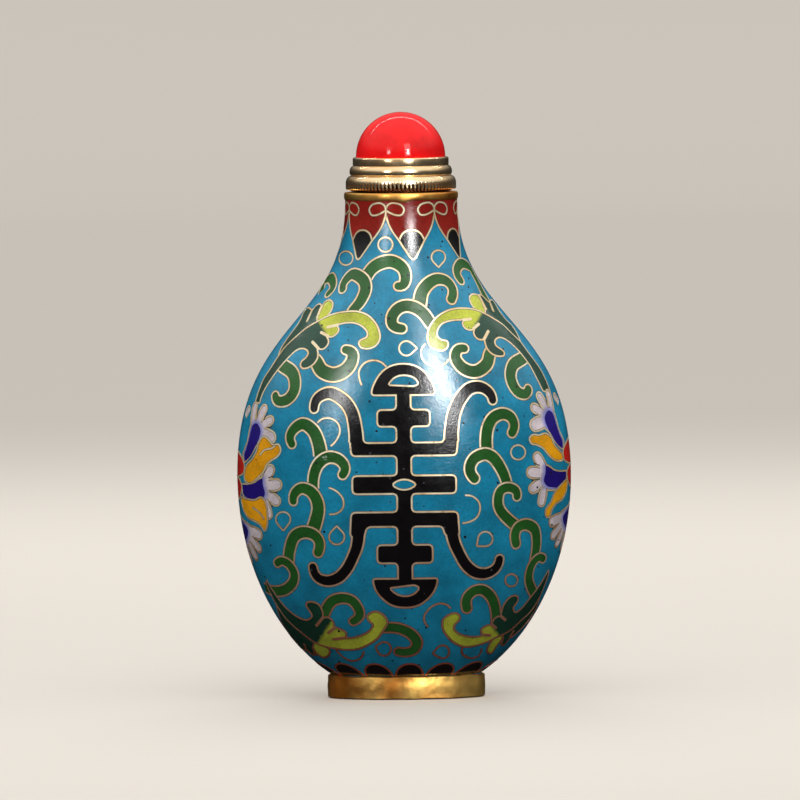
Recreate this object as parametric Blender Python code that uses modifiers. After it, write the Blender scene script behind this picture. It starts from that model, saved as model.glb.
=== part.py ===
"""A flattened pear-shaped snuff bottle of enamelled copper, with a gilt foot and rim and a domed stopper.

The bottle stands on its foot at Z 0 with its axis on +Z. Its broad front faces -Y and its width runs along X.
Every section across the bottle is an ellipse: round at the neck, flattened at the belly and the foot.
"""

import math

import bmesh
import bpy
import numpy as np

MM = 0.001

# Gaps between separate pieces
SEAM_GAP = 0.3 * MM
BEZEL_GAP = 0.15 * MM

# Foot rim, an oval band
FOOT_WIDTH = 21.5 * MM
FOOT_DEPTH = 12.9 * MM
FOOT_HEIGHT = 3.3 * MM
FOOT_WALL = 1.0 * MM
FOOT_EDGE = 0.15 * MM

# Body, from the foot up to the mouth
BELLY_WIDTH = 45.6 * MM
BELLY_DEPTH = 26.4 * MM
BELLY_RISE = 26.9 * MM
NECK_RISE = 37.4 * MM
NECK_RADIUS = 7.65 * MM
BODY_WALL = 1.5 * MM

# How far the side and front outlines run straight up from the belly, and straight down from the mouth
WIDTH_BELLY_HANDLE = 21.5 * MM
WIDTH_NECK_HANDLE = 16.9 * MM
DEPTH_BELLY_HANDLE = 23.5 * MM
DEPTH_NECK_HANDLE = 12.4 * MM

# Mouth rim, a flat ring round the opening
MOUTH_RIM_RADIUS = 7.81 * MM
MOUTH_RIM_HEIGHT = 0.9 * MM
MOUTH_RIM_EDGE = 0.12 * MM
MOUTH_RADIUS = 5.2 * MM

# Stopper: a plug in the mouth, a thin lip, a milled ring, a bead, and a cup that holds the cabochon
PLUG_CLEARANCE = 0.3 * MM
PLUG_LENGTH = 4.4 * MM
PLUG_EDGE = 0.4 * MM
LIP_RADIUS = 7.1 * MM
LIP_HEIGHT = 0.2 * MM
MILLED_RADIUS = 7.54 * MM
MILLED_HEIGHT = 1.75 * MM
MILLED_EDGE = 0.3 * MM
TOOTH_COUNT = 64
TOOTH_HEIGHT = 1.05 * MM
TOOTH_DEPTH = 0.25 * MM
BEAD_RADIUS = 7.0 * MM
BEAD_HEIGHT = 1.4 * MM
BEAD_EDGE = 0.4 * MM
BEAD_GROOVE = 0.25 * MM
CUP_HEIGHT = 1.15 * MM
CUP_WALL = 0.3 * MM
CUP_DEPTH = 0.9 * MM
CABOCHON_RADIUS = 6.1 * MM
CABOCHON_RISE = 6.1 * MM

# Facets
SECTION_SIDES = 48
LOWER_RINGS = 8
UPPER_RINGS = 13
CURVE_SAMPLES = 400
CABOCHON_SIDES = 40
CABOCHON_ARC_STEPS = 8

# Heights that follow from the sizes above
BODY_BASE_Z = FOOT_HEIGHT + SEAM_GAP
BELLY_Z = BODY_BASE_Z + BELLY_RISE
BODY_TOP_Z = BELLY_Z + NECK_RISE
MOUTH_RIM_Z = BODY_TOP_Z + SEAM_GAP
LIP_Z = MOUTH_RIM_Z + MOUTH_RIM_HEIGHT + SEAM_GAP
MILLED_Z = LIP_Z + LIP_HEIGHT
BEAD_Z = MILLED_Z + MILLED_HEIGHT
CUP_Z = BEAD_Z + BEAD_HEIGHT
CUP_TOP_Z = CUP_Z + CUP_HEIGHT
CUP_FLOOR_Z = CUP_TOP_Z - CUP_DEPTH
CUP_BORE = CABOCHON_RADIUS + BEZEL_GAP
CUP_RADIUS = CUP_BORE + CUP_WALL


def clear_scene():
    for old in list(bpy.data.objects):
        bpy.data.objects.remove(old, do_unlink=True)


def new_collection(name):
    made = bpy.data.collections.new(name)
    bpy.context.scene.collection.children.link(made)
    return made


def material(name, colour, roughness, metallic):
    made = bpy.data.materials.new(name)
    made.use_nodes = True
    shader = made.node_tree.nodes["Principled BSDF"]
    shader.inputs["Base Color"].default_value = (*colour, 1.0)
    shader.inputs["Roughness"].default_value = roughness
    shader.inputs["Metallic"].default_value = metallic
    return made


def lower_half(z, belly_half, foot_half):
    """Half the width at height z below the belly: part of an ellipse that meets the foot at its own width."""
    semi_height = BELLY_RISE / math.sqrt(1 - (foot_half / belly_half) ** 2)
    return belly_half * math.sqrt(1 - ((BELLY_Z - z) / semi_height) ** 2)


def upper_curve(belly_half, belly_handle, neck_handle):
    """Heights and half widths of the outline above the belly: a cubic curve, upright at both ends."""
    t = np.linspace(0, 1, CURVE_SAMPLES)
    weights = ((1 - t) ** 3, 3 * t * (1 - t) ** 2, 3 * t**2 * (1 - t), t**3)
    heights = (BELLY_Z, BELLY_Z + belly_handle, BODY_TOP_Z - neck_handle, BODY_TOP_Z)
    halves = (belly_half, belly_half, NECK_RADIUS, NECK_RADIUS)
    z = sum(w * h for w, h in zip(weights, heights))
    half = sum(w * h for w, h in zip(weights, halves))
    return z, half


WIDTH_CURVE = upper_curve(BELLY_WIDTH / 2, WIDTH_BELLY_HANDLE, WIDTH_NECK_HANDLE)
DEPTH_CURVE = upper_curve(BELLY_DEPTH / 2, DEPTH_BELLY_HANDLE, DEPTH_NECK_HANDLE)


def half_sizes(z):
    """Half the body's width and depth at height z."""
    if z < BELLY_Z:
        return (
            lower_half(z, BELLY_WIDTH / 2, FOOT_WIDTH / 2),
            lower_half(z, BELLY_DEPTH / 2, FOOT_DEPTH / 2),
        )
    return float(np.interp(z, *WIDTH_CURVE)), float(np.interp(z, *DEPTH_CURVE))


def oval_ring(bm, half_width, half_depth, z):
    """A ring of vertices round the axis, counter-clockwise from above."""
    angles = (2 * math.pi * i / SECTION_SIDES for i in range(SECTION_SIDES))
    return [bm.verts.new((half_width * math.cos(a), half_depth * math.sin(a), z)) for a in angles]


def bridge(bm, upper, lower):
    """A band of faces between two rings, facing outwards where upper is above lower."""
    for i in range(len(upper)):
        j = (i + 1) % len(upper)
        bm.faces.new((upper[i], lower[i], lower[j], upper[j]))


def object_from(bm, name, collection, finish):
    mesh = bpy.data.meshes.new(name)
    bm.to_mesh(mesh)
    bm.free()
    made = bpy.data.objects.new(name, mesh)
    collection.objects.link(made)
    mesh.materials.append(finish)
    return made


def shade(made, sharp_angle=40):
    made.data.shade_smooth()
    made.data.set_sharp_from_angle(angle=math.radians(sharp_angle))


def solidify(made, wall):
    """Gives an open surface a wall that grows inwards."""
    shell = made.modifiers.new("wall", "SOLIDIFY")
    shell.thickness = wall
    shell.offset = -1
    shell.use_even_offset = True


def soften(made, width):
    edges = made.modifiers.new("edges", "BEVEL")
    edges.width = width
    edges.segments = 1
    edges.limit_method = "ANGLE"


def body_heights():
    """Heights of the body's rings from the mouth down, closer together where the outline turns."""
    rising = [BODY_TOP_Z - NECK_RISE * i / UPPER_RINGS for i in range(UPPER_RINGS)]
    turns = [math.pi / 2 * i / LOWER_RINGS for i in range(LOWER_RINGS + 1)]
    return rising + [BELLY_Z - BELLY_RISE * math.sin(a) for a in turns]


def make_body(collection, finish):
    bm = bmesh.new()
    rings = [oval_ring(bm, *half_sizes(z), z) for z in body_heights()]
    for upper, lower in zip(rings, rings[1:]):
        bridge(bm, upper, lower)
    bm.faces.new(list(reversed(rings[-1])))
    made = object_from(bm, "body", collection, finish)
    solidify(made, BODY_WALL)
    shade(made)
    return made


def make_foot_rim(collection, finish):
    bm = bmesh.new()
    upper = oval_ring(bm, FOOT_WIDTH / 2, FOOT_DEPTH / 2, FOOT_HEIGHT)
    lower = oval_ring(bm, FOOT_WIDTH / 2, FOOT_DEPTH / 2, 0)
    bridge(bm, upper, lower)
    made = object_from(bm, "foot_rim", collection, finish)
    solidify(made, FOOT_WALL)
    soften(made, FOOT_EDGE)
    shade(made)
    return made


def turned(name, profile, steps, collection, finish):
    """Turns a profile of (radius, height) points round the axis. The profile runs down its outer side."""
    bm = bmesh.new()
    verts = [bm.verts.new((radius, 0, z)) for radius, z in profile]
    for start, end in zip(verts, verts[1:]):
        bm.edges.new((start, end))
    if profile[0][0] > 0:
        bm.edges.new((verts[-1], verts[0]))
    made = object_from(bm, name, collection, finish)
    screw = made.modifiers.new("turn", "SCREW")
    screw.steps = steps
    screw.render_steps = steps
    screw.use_merge_vertices = True
    screw.merge_threshold = 0.00001
    screw.use_smooth_shade = True
    return made


def make_mouth_rim(collection, finish):
    top, edge = MOUTH_RIM_Z + MOUTH_RIM_HEIGHT, MOUTH_RIM_EDGE
    profile = [
        (MOUTH_RADIUS, top),
        (MOUTH_RIM_RADIUS - edge, top),
        (MOUTH_RIM_RADIUS, top - edge),
        (MOUTH_RIM_RADIUS, MOUTH_RIM_Z + edge),
        (MOUTH_RIM_RADIUS - edge, MOUTH_RIM_Z),
        (MOUTH_RADIUS, MOUTH_RIM_Z),
    ]
    return turned("mouth_rim", profile, SECTION_SIDES, collection, finish)


def collar_profile():
    """The stopper's metal from the cup's floor outwards, down its side, and down the plug."""
    plug_radius = MOUTH_RADIUS - PLUG_CLEARANCE
    plug_end = LIP_Z - PLUG_LENGTH
    return [
        (0, CUP_FLOOR_Z),
        (CUP_BORE, CUP_FLOOR_Z),
        (CUP_BORE, CUP_TOP_Z),
        (CUP_RADIUS, CUP_TOP_Z),
        (CUP_RADIUS, CUP_Z),
        (BEAD_RADIUS, CUP_Z - BEAD_EDGE),
        (BEAD_RADIUS, BEAD_Z + BEAD_EDGE),
        (BEAD_RADIUS - BEAD_GROOVE, BEAD_Z),
        (MILLED_RADIUS - MILLED_EDGE, BEAD_Z - MILLED_EDGE),
        (MILLED_RADIUS, MILLED_Z + TOOTH_HEIGHT),
        (MILLED_RADIUS, MILLED_Z),
        (LIP_RADIUS, MILLED_Z),
        (LIP_RADIUS, LIP_Z),
        (plug_radius, LIP_Z),
        (plug_radius, plug_end + PLUG_EDGE),
        (plug_radius - PLUG_EDGE, plug_end),
        (0, plug_end),
    ]


def mill_teeth(mesh):
    """Cuts the milled ring into teeth: every second vertex of its lower edge moves in."""
    step = math.pi / TOOTH_COUNT
    shrink = (MILLED_RADIUS - TOOTH_DEPTH) / MILLED_RADIUS
    for vert in mesh.vertices:
        on_side = vert.co.xy.length > MILLED_RADIUS - TOOTH_DEPTH
        on_lower_edge = abs(vert.co.z - MILLED_Z) < LIP_HEIGHT / 2
        is_notch = round(math.atan2(vert.co.y, vert.co.x) / step) % 2
        if on_side and on_lower_edge and is_notch:
            vert.co.x *= shrink
            vert.co.y *= shrink


def make_stopper_collar(collection, finish):
    blank = turned("collar_blank", collar_profile(), 2 * TOOTH_COUNT, collection, finish)
    graph = bpy.context.evaluated_depsgraph_get()
    mesh = bpy.data.meshes.new_from_object(blank.evaluated_get(graph))
    mesh.name = "stopper_collar"
    bpy.data.objects.remove(blank, do_unlink=True)
    mill_teeth(mesh)
    made = bpy.data.objects.new("stopper_collar", mesh)
    collection.objects.link(made)
    shade(made, 30)
    return made


def make_cabochon(collection, finish):
    """A dome on a short straight seat that stands in the cup."""
    base = CUP_FLOOR_Z + BEZEL_GAP
    turns = [math.pi / 2 * i / CABOCHON_ARC_STEPS for i in range(CABOCHON_ARC_STEPS + 1)]
    dome = [(CABOCHON_RADIUS * math.sin(a), CUP_TOP_Z + CABOCHON_RISE * math.cos(a)) for a in turns]
    return turned(
        "stopper_cabochon",
        dome + [(CABOCHON_RADIUS, base), (0, base)],
        CABOCHON_SIDES,
        collection,
        finish,
    )


def main():
    clear_scene()
    collection = new_collection("snuff_bottle")
    enamel = material("enamel", (0.03, 0.29, 0.42), 0.18, 0.0)
    gilt = material("gilt_copper", (0.83, 0.58, 0.2), 0.3, 1.0)
    brass = material("polished_brass", (0.86, 0.7, 0.42), 0.2, 1.0)
    coral = material("coral_red", (0.8, 0.02, 0.02), 0.12, 0.0)
    make_body(collection, enamel)
    make_foot_rim(collection, gilt)
    make_mouth_rim(collection, gilt)
    make_stopper_collar(collection, brass)
    make_cabochon(collection, coral)


main()
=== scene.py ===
"""The snuff bottle dressed in wire-and-enamel work, with its gilt rims and its milled brass stopper.

Lengths are in millimetres until a mesh is made. The artwork is a map of the bottle's skin: each motif is an
outline, the outlines are painted one over another, and every patch of one colour becomes its own thin inlay.
"""

import math

import bmesh
import bpy
import numpy as np
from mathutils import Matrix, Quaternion, Vector, noise
from mathutils.geometry import delaunay_2d_cdt


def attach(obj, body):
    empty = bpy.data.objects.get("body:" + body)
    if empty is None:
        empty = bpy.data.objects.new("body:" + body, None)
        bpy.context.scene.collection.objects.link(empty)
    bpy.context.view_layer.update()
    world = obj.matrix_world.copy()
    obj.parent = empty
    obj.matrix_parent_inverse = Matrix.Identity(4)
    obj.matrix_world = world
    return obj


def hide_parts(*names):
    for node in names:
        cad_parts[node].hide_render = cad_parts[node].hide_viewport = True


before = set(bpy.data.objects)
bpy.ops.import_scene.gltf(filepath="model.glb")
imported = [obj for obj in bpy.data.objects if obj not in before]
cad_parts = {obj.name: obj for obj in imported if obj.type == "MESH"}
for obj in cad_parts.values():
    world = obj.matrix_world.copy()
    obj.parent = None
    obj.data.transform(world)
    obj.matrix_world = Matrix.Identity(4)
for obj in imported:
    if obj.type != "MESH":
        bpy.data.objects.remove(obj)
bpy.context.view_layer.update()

MM = 0.001

# Camera and picture
CAMERA_DISTANCE = 1600.0
CAMERA_HEIGHT = 114.0
PICTURE_MM = 109.3
PICTURE_AIM = (-0.45, 40.64)
PICTURE_ROLL = 0.64
SENSOR = 36.0

# Body outline, the same as the solid's
FOOT_WIDTH = 21.5
FOOT_DEPTH = 12.9
FOOT_HEIGHT = 3.3
FOOT_WALL = 1.0
BELLY_WIDTH = 45.6
BELLY_DEPTH = 26.4
BELLY_RISE = 26.9
NECK_RISE = 37.4
NECK_RADIUS = 7.65
BODY_WALL = 1.5
WIDTH_BELLY_HANDLE = 21.5
WIDTH_NECK_HANDLE = 16.9
DEPTH_BELLY_HANDLE = 23.5
DEPTH_NECK_HANDLE = 12.4
SEAM_GAP = 0.3
BODY_BASE_Z = FOOT_HEIGHT + SEAM_GAP
BELLY_Z = BODY_BASE_Z + BELLY_RISE
BODY_TOP_Z = BELLY_Z + NECK_RISE

# The skin runs on to the rims that close it at each end
SKIN_LOW = FOOT_HEIGHT
SKIN_HIGH = BODY_TOP_Z + SEAM_GAP

# Enamel and wire
WIRE_WIDTH = 0.23
WIRE_LIFT = 0.03
# Width of the dark edge round each wire: partly its copper edge, partly painted shade along its sides
EDGE_AND_SHADE_WIDTH = 0.06
INLAY_DEPTH = 0.5
COPPER_DEPTH = 0.52
OUTLINE_STEP = 0.28
CURVE_STEPS = 14
CORNER_STEPS = 5
DROP_STEPS = 30
FOLD_SLACK = 0.008
GRID_STEP = 0.75
GRID_MARGIN = 0.3
FLOWER_GRID_STEP = 0.35
FLOWER_HEIGHTS = (18, 43)
FLOWER_SPREAD = 0.8


# Shape of the skin


def lower_half(z, belly_half, foot_half):
    """Half the width at height z below the belly: part of an ellipse that meets the foot at its own width."""
    semi_height = BELLY_RISE / math.sqrt(1 - (foot_half / belly_half) ** 2)
    return belly_half * np.sqrt(np.clip(1 - ((BELLY_Z - z) / semi_height) ** 2, 0, 1))


def upper_curve(belly_half, belly_handle, neck_handle):
    """Heights and half widths of the outline above the belly: a cubic curve, upright at both ends."""
    t = np.linspace(0, 1, 1200)
    weights = ((1 - t) ** 3, 3 * t * (1 - t) ** 2, 3 * t**2 * (1 - t), t**3)
    heights = (BELLY_Z, BELLY_Z + belly_handle, BODY_TOP_Z - neck_handle, BODY_TOP_Z)
    halves = (belly_half, belly_half, NECK_RADIUS, NECK_RADIUS)
    z = sum(w * h for w, h in zip(weights, heights))
    half = sum(w * h for w, h in zip(weights, halves))
    return z, half


WIDTH_CURVE = upper_curve(BELLY_WIDTH / 2, WIDTH_BELLY_HANDLE, WIDTH_NECK_HANDLE)
DEPTH_CURVE = upper_curve(BELLY_DEPTH / 2, DEPTH_BELLY_HANDLE, DEPTH_NECK_HANDLE)


def half_sizes(z):
    """Half the body's width and depth at heights z."""
    z = np.asarray(z, float)
    below = z < BELLY_Z
    width = np.where(below, lower_half(z, BELLY_WIDTH / 2, FOOT_WIDTH / 2), np.interp(z, *WIDTH_CURVE))
    depth = np.where(below, lower_half(z, BELLY_DEPTH / 2, FOOT_DEPTH / 2), np.interp(z, *DEPTH_CURVE))
    return width, depth


def skin_normal(t, z):
    step = 0.05
    a, b = half_sizes(z)
    a_up, b_up = half_sizes(z + step)
    a_down, b_down = half_sizes(z - step)
    flat = np.zeros_like(a)
    around = np.stack([a * np.cos(t), b * np.sin(t), flat], axis=-1)
    rise_x = (a_up - a_down) / (2 * step) * np.sin(t)
    rise_y = -(b_up - b_down) / (2 * step) * np.cos(t)
    normal = np.cross(around, np.stack([rise_x, rise_y, flat + 1], axis=-1))
    return normal / np.linalg.norm(normal, axis=-1, keepdims=True)


def skin_position(t, z, lift=0.0):
    """Points of the skin at angles t round from the front and heights z, lifted along the normal."""
    a, b = half_sizes(z)
    return np.stack([a * np.sin(t), -b * np.cos(t), z], axis=-1) + lift * skin_normal(t, z)


def laid_on_skin(points):
    """Angle and height of the skin under points in space."""
    a, b = half_sizes(points[:, 2])
    return np.stack([np.arctan2(points[:, 0] / a, -points[:, 1] / b), points[:, 2]], axis=-1)


# Where drawn points land on the skin, as (angle, height)

# What is left of the depth, squared, where a drawn point reaches past the outline
LEAST_DEPTH = 0.0006


def on_front(drawn):
    """Lays points drawn on an upright plane through the axis onto the front, as the camera sees them."""
    u, v = np.asarray(drawn, float).T
    share = np.zeros_like(u)
    for _ in range(10):
        x = u * (1 - share)
        z = v + share * (CAMERA_HEIGHT - v)
        a, b = half_sizes(z)
        y = -b * np.sqrt(np.clip(1 - (x / a) ** 2, LEAST_DEPTH, 1))
        share = y / -CAMERA_DISTANCE
    return np.stack([np.arctan2(x / a, -y / b), z], axis=-1)


def edge_arc(angle, a, b):
    """Length round an oval section from its side out to an angle."""
    nodes, weights = np.polynomial.legendre.leggauss(8)
    at = angle[:, None] * (nodes + 1) / 2
    speed = np.sqrt((b[:, None] * np.cos(at)) ** 2 + (a[:, None] * np.sin(at)) ** 2)
    return (speed * weights).sum(axis=1) * angle / 2


def on_side(drawn, side):
    """Lays points given as (distance round from the side towards the front, height) onto one side."""
    s, z = np.asarray(drawn, float).T
    a, b = half_sizes(z)
    angle = s / b
    for _ in range(8):
        speed = np.sqrt((b * np.cos(angle)) ** 2 + (a * np.sin(angle)) ** 2)
        angle = angle - (edge_arc(angle, a, b) - s) / speed
    return np.stack([side * (math.pi / 2 - angle), z], axis=-1)


# Curves and outlines


def curve(points, closed=False):
    """A smooth curve through a few points."""
    p = np.asarray(points, float)
    if len(p) == 2:
        return np.linspace(*p, CURVE_STEPS)
    if closed:
        p = np.vstack([p[-2:], p, p[:3]])
    gap = np.sqrt(np.linalg.norm(np.diff(p, axis=0), axis=1))[:, None]
    slope = np.diff(p, axis=0) / gap
    inner = (slope[:-1] * gap[1:] + slope[1:] * gap[:-1]) / (gap[:-1] + gap[1:])
    tangent = np.vstack([2 * slope[:1] - inner[:1], inner, 2 * slope[-1:] - inner[-1:]])
    share = np.linspace(0, 1, CURVE_STEPS, endpoint=False)[:, None]
    first, last = (2, len(p) - 3) if closed else (0, len(p) - 1)
    pieces = []
    for i in range(first, last):
        h00 = 2 * share**3 - 3 * share**2 + 1
        h10 = share**3 - 2 * share**2 + share
        h01 = 3 * share**2 - 2 * share**3
        h11 = share**3 - share**2
        pieces.append(h00 * p[i] + h10 * gap[i] * tangent[i] + h01 * p[i + 1] + h11 * gap[i] * tangent[i + 1])
    if not closed:
        pieces.append(p[-1:])
    return np.vstack(pieces)


def rounded(corners, radius):
    """A polygon with its corners rounded; a corner may carry its own radius as a third number."""
    count = len(corners)
    out = []
    for i, corner in enumerate(corners):
        here = np.array(corner[:2], float)
        before = np.array(corners[i - 1][:2], float) - here
        after = np.array(corners[(i + 1) % count][:2], float) - here
        cut = corner[2] if len(corner) > 2 else radius
        start = here + before * min(0.5, cut / np.linalg.norm(before))
        end = here + after * min(0.5, cut / np.linalg.norm(after))
        for k in range(CORNER_STEPS + 1):
            s = k / CORNER_STEPS
            out.append(start * (1 - s) ** 2 + here * 2 * s * (1 - s) + end * s**2)
    return np.array(out)


def drop(centre, radius, point=None):
    """A circle, or a drop that runs from a circle out to a point."""
    centre = np.array(centre, float)
    if point is None:
        turns = np.linspace(0, 2 * math.pi, DROP_STEPS, endpoint=False)
        return centre + radius * np.stack([np.cos(turns), np.sin(turns)], axis=-1)
    reach = np.array(point, float) - centre
    distance = np.linalg.norm(reach)
    open_angle = math.acos(radius / distance)
    heading = math.atan2(reach[1], reach[0])
    turns = heading + np.linspace(open_angle, 2 * math.pi - open_angle, DROP_STEPS)
    arc = centre + radius * np.stack([np.cos(turns), np.sin(turns)], axis=-1)
    return np.vstack([np.linspace(arc[-1], point, 6)[1:], np.linspace(point, arc[0], 6)[1:-1], arc])


def resampled(path, closed):
    """The same path on the skin with even steps along it."""
    if closed:
        path = np.vstack([path, path[:1]])
    path = np.stack([np.unwrap(path[:, 0]), path[:, 1]], axis=-1)
    hops = np.linalg.norm(np.diff(skin_position(*path.T), axis=0), axis=1)
    along = np.concatenate([[0], np.cumsum(hops)])
    count = max(8, int(round(along[-1] / OUTLINE_STEP)))
    at = np.linspace(0, along[-1], count, endpoint=not closed)
    return np.stack([np.interp(at, along, path[:, 0]), np.interp(at, along, path[:, 1])], axis=-1)


def directions(path, closed):
    """Places along a path on the skin, with the directions ahead and to the left."""
    place = skin_position(*path.T)
    if closed:
        ahead = np.roll(place, -1, axis=0) - np.roll(place, 1, axis=0)
    else:
        ahead = np.gradient(place, axis=0)
    ahead /= np.linalg.norm(ahead, axis=1, keepdims=True)
    return place, ahead, np.cross(skin_normal(*path.T), ahead)


def clear_of(points, spots, reach):
    """Leaves out points of a grown outline where it folds over: those too near to the spots it grew from."""
    gaps = np.linalg.norm(points[:, None] - spots, axis=-1) - reach
    return points[gaps.min(axis=1) > -FOLD_SLACK]


def band(path, widths, round_base=False):
    """A stroke whose width runs through evenly spaced values. Gives its outline, grown by any amount."""
    path = resampled(path, closed=False)
    place, ahead, left = directions(path, closed=False)
    knots = curve([(k / (len(widths) - 1), width) for k, width in enumerate(widths)])
    width = np.interp(np.linspace(0, 1, len(path)), *knots.T)

    def outline(grow):
        half = (width / 2 + grow)[:, None]
        cap = np.linspace(-math.pi / 2, math.pi / 2, 9)[1:-1, None]
        tip = place[-1] + half[-1] * (np.cos(cap) * ahead[-1] + np.sin(cap) * left[-1])
        sides = [place - half * left, tip, (place + half * left)[::-1]]
        if round_base:
            sides.append(place[0] - half[0] * (np.cos(cap) * ahead[0] + np.sin(cap) * left[0]))
        return laid_on_skin(clear_of(np.vstack(sides), place, half[:, 0]))

    return outline


def patch(loop):
    """A closed outline on the skin, for any amount that it is grown by."""
    loop = resampled(loop, closed=True)
    place, _, left = directions(loop, closed=True)
    x, y = flat_map(*loop.T).T
    turn = np.sign(np.sum(x * np.roll(y, -1) - y * np.roll(x, -1)))

    def outline(grow):
        return laid_on_skin(clear_of(place - turn * MAP_TURN * grow * left, place, abs(grow)))

    return outline


# The skin laid out flat as a ring, mouth outside and foot inside


def ring_radii():
    z = np.linspace(SKIN_LOW - 1, SKIN_HIGH + 1, 3000)
    a, b = half_sizes(z)
    mean = (a + b) / 2
    hop = np.hypot(np.diff(z), np.diff(mean))
    return z, np.exp(np.concatenate([[0], np.cumsum(hop / ((mean[1:] + mean[:-1]) / 2))]))


RING_Z, RING_RADIUS = ring_radii()
# Turning left on the skin, seen from outside, is turning left on the flat ring too when this is 1
MAP_TURN = -1


def flat_map(t, z):
    radius = np.interp(z, RING_Z, RING_RADIUS)
    return np.stack([radius * np.cos(t), radius * np.sin(t)], axis=-1)


# Painting


class Painting:
    """Outlines on the skin in the order they are painted, each with its colour."""

    def __init__(self):
        self.cells = []

    def fill(self, outline, colour, blend=None):
        self.cells.append((outline, colour, blend))

    def cell(self, shape, colour, blend=None):
        self.joined([shape], colour, blend)

    def joined(self, shapes, colour, blend=None):
        """Several overlapping shapes with one wire round them all, in a thin dark edge that is partly painted
        shade.
        """
        half = WIRE_WIDTH / 2
        for grow, filling in ((half + EDGE_AND_SHADE_WIDTH, "seam"), (half, "wire"), (-half, "seam")):
            for shape in shapes:
                self.fill(shape(grow), filling)
        for shape in shapes:
            self.fill(shape(-half - EDGE_AND_SHADE_WIDTH), colour, blend)

    def wire(self, path):
        """A wire on its own, with round ends."""
        line = band(path, (WIRE_WIDTH,) * 3, round_base=True)
        # The dark edge round the wire, partly painted shade
        self.fill(line(EDGE_AND_SHADE_WIDTH), "seam")
        self.fill(line(0), "wire")

    def ring(self, loop):
        """A closed wire with the ground showing inside."""
        self.cell(patch(loop), "turquoise")

    def mirrored(self, across):
        """Adds the same cells again with their angles turned by a function."""
        for outline, colour, blend in list(self.cells):
            flipped = np.stack([across(outline[:, 0]), outline[:, 1]], axis=-1)
            turned = (lambda t, z, f=blend: f(across(t), z)) if blend else None
            self.fill(flipped, colour, turned)


def evenly(value):
    """A blend that is the same all over its cell."""
    return lambda t, z: value + 0 * z


def mirror_half(points):
    """Points down the right half of a figure, joined to their mirror image."""
    return points + [(-p[0], *p[1:]) for p in reversed(points)]


# Emblem in the middle of each face

EMBLEM_FRET = [
    (1.0, 42.1), (1.0, 39.3), (3.6, 39.3), (3.6, 37.0), (1.0, 37.0), (1.0, 34.8), (5.5, 34.8), (5.6, 36.6),
    (7.5, 36.6), (7.2, 33.0), (1.0, 33.0), (1.0, 30.3), (7.1, 30.3), (7.1, 27.8), (1.0, 27.8), (1.0, 25.3),
    (7.3, 25.3), (7.5, 21.9), (5.5, 21.9), (5.2, 23.3), (1.0, 23.3), (1.0, 20.8), (3.8, 20.8), (3.8, 18.3),
    (1.0, 18.3), (1.0, 15.5),
]
EMBLEM_CAP = [(4.4, 41.3, 0.5), (4.2, 42.6, 1.2), (3.0, 44.6, 1.6), (1.2, 45.6, 1.2)]
EMBLEM_BOWL = [(4.5, 16.2, 0.4), (4.1, 14.4, 1.4), (2.4, 12.7, 1.4), (0.9, 12.2, 0.9)]
EMBLEM_ARMS = (
    ([(6.5, 34.9), (6.6, 37.0), (7.0, 39.0), (7.8, 40.7), (9.1, 42.1), (10.5, 42.3), (11.7, 41.6),
      (12.2, 40.5)],
     (1.95, 1.8, 1.7, 1.3)),
    ([(-6.5, 34.9), (-6.6, 36.8), (-7.1, 39.1), (-8.2, 40.7), (-10.1, 41.7), (-11.7, 41.0), (-12.2, 39.6)],
     (2.0, 1.8, 1.7, 1.3)),
    ([(-6.4, 23.6), (-6.5, 21.0), (-7.1, 19.3), (-8.0, 17.6), (-9.2, 16.4), (-10.7, 16.0), (-12.0, 16.5),
      (-12.6, 17.9)], (1.95, 1.6, 1.6, 1.3)),
    ([(6.4, 23.6), (6.7, 21.3), (7.4, 19.6), (8.4, 17.9), (9.7, 16.9), (11.2, 16.8), (12.4, 17.5),
      (12.9, 18.7)], (1.9, 1.6, 1.6, 1.3)),
)
EMBLEM_LENSES = (
    [(-2.1, 42.7, 0.3), (-1.2, 43.8, 0.7), (0.2, 44.1, 0.7), (1.6, 43.7, 0.6), (2.2, 42.8, 0.5),
     (1.5, 42.5, 0.4)],
    [(-1.8, 29.05, 0.6), (-0.6, 29.75, 0.6), (0.6, 29.75, 0.6), (1.8, 29.05, 0.6), (0.6, 28.35, 0.6),
     (-0.6, 28.35, 0.6)],
    [(-2.2, 14.9, 0.3), (1.3, 15.3, 0.4), (2.0, 14.9, 0.4), (1.2, 14.0, 0.6), (0.0, 13.7, 0.6),
     (-1.2, 14.0, 0.6)],
)


def paint_emblem(painting):
    plates = [
        patch(on_front(rounded(mirror_half(EMBLEM_FRET), 0.62))),
        patch(on_front(rounded(mirror_half(EMBLEM_CAP), 0.6))),
        patch(on_front(rounded(mirror_half(EMBLEM_BOWL), 0.6))),
    ]
    arms = [band(on_front(curve(points)), widths) for points, widths in EMBLEM_ARMS]
    painting.joined(arms + plates, "black")
    for lens in EMBLEM_LENSES:
        painting.ring(on_front(rounded(lens, 0.5)))


# Scrolls: chains of crooks, each lower one lying over the foot of the one above

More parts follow.
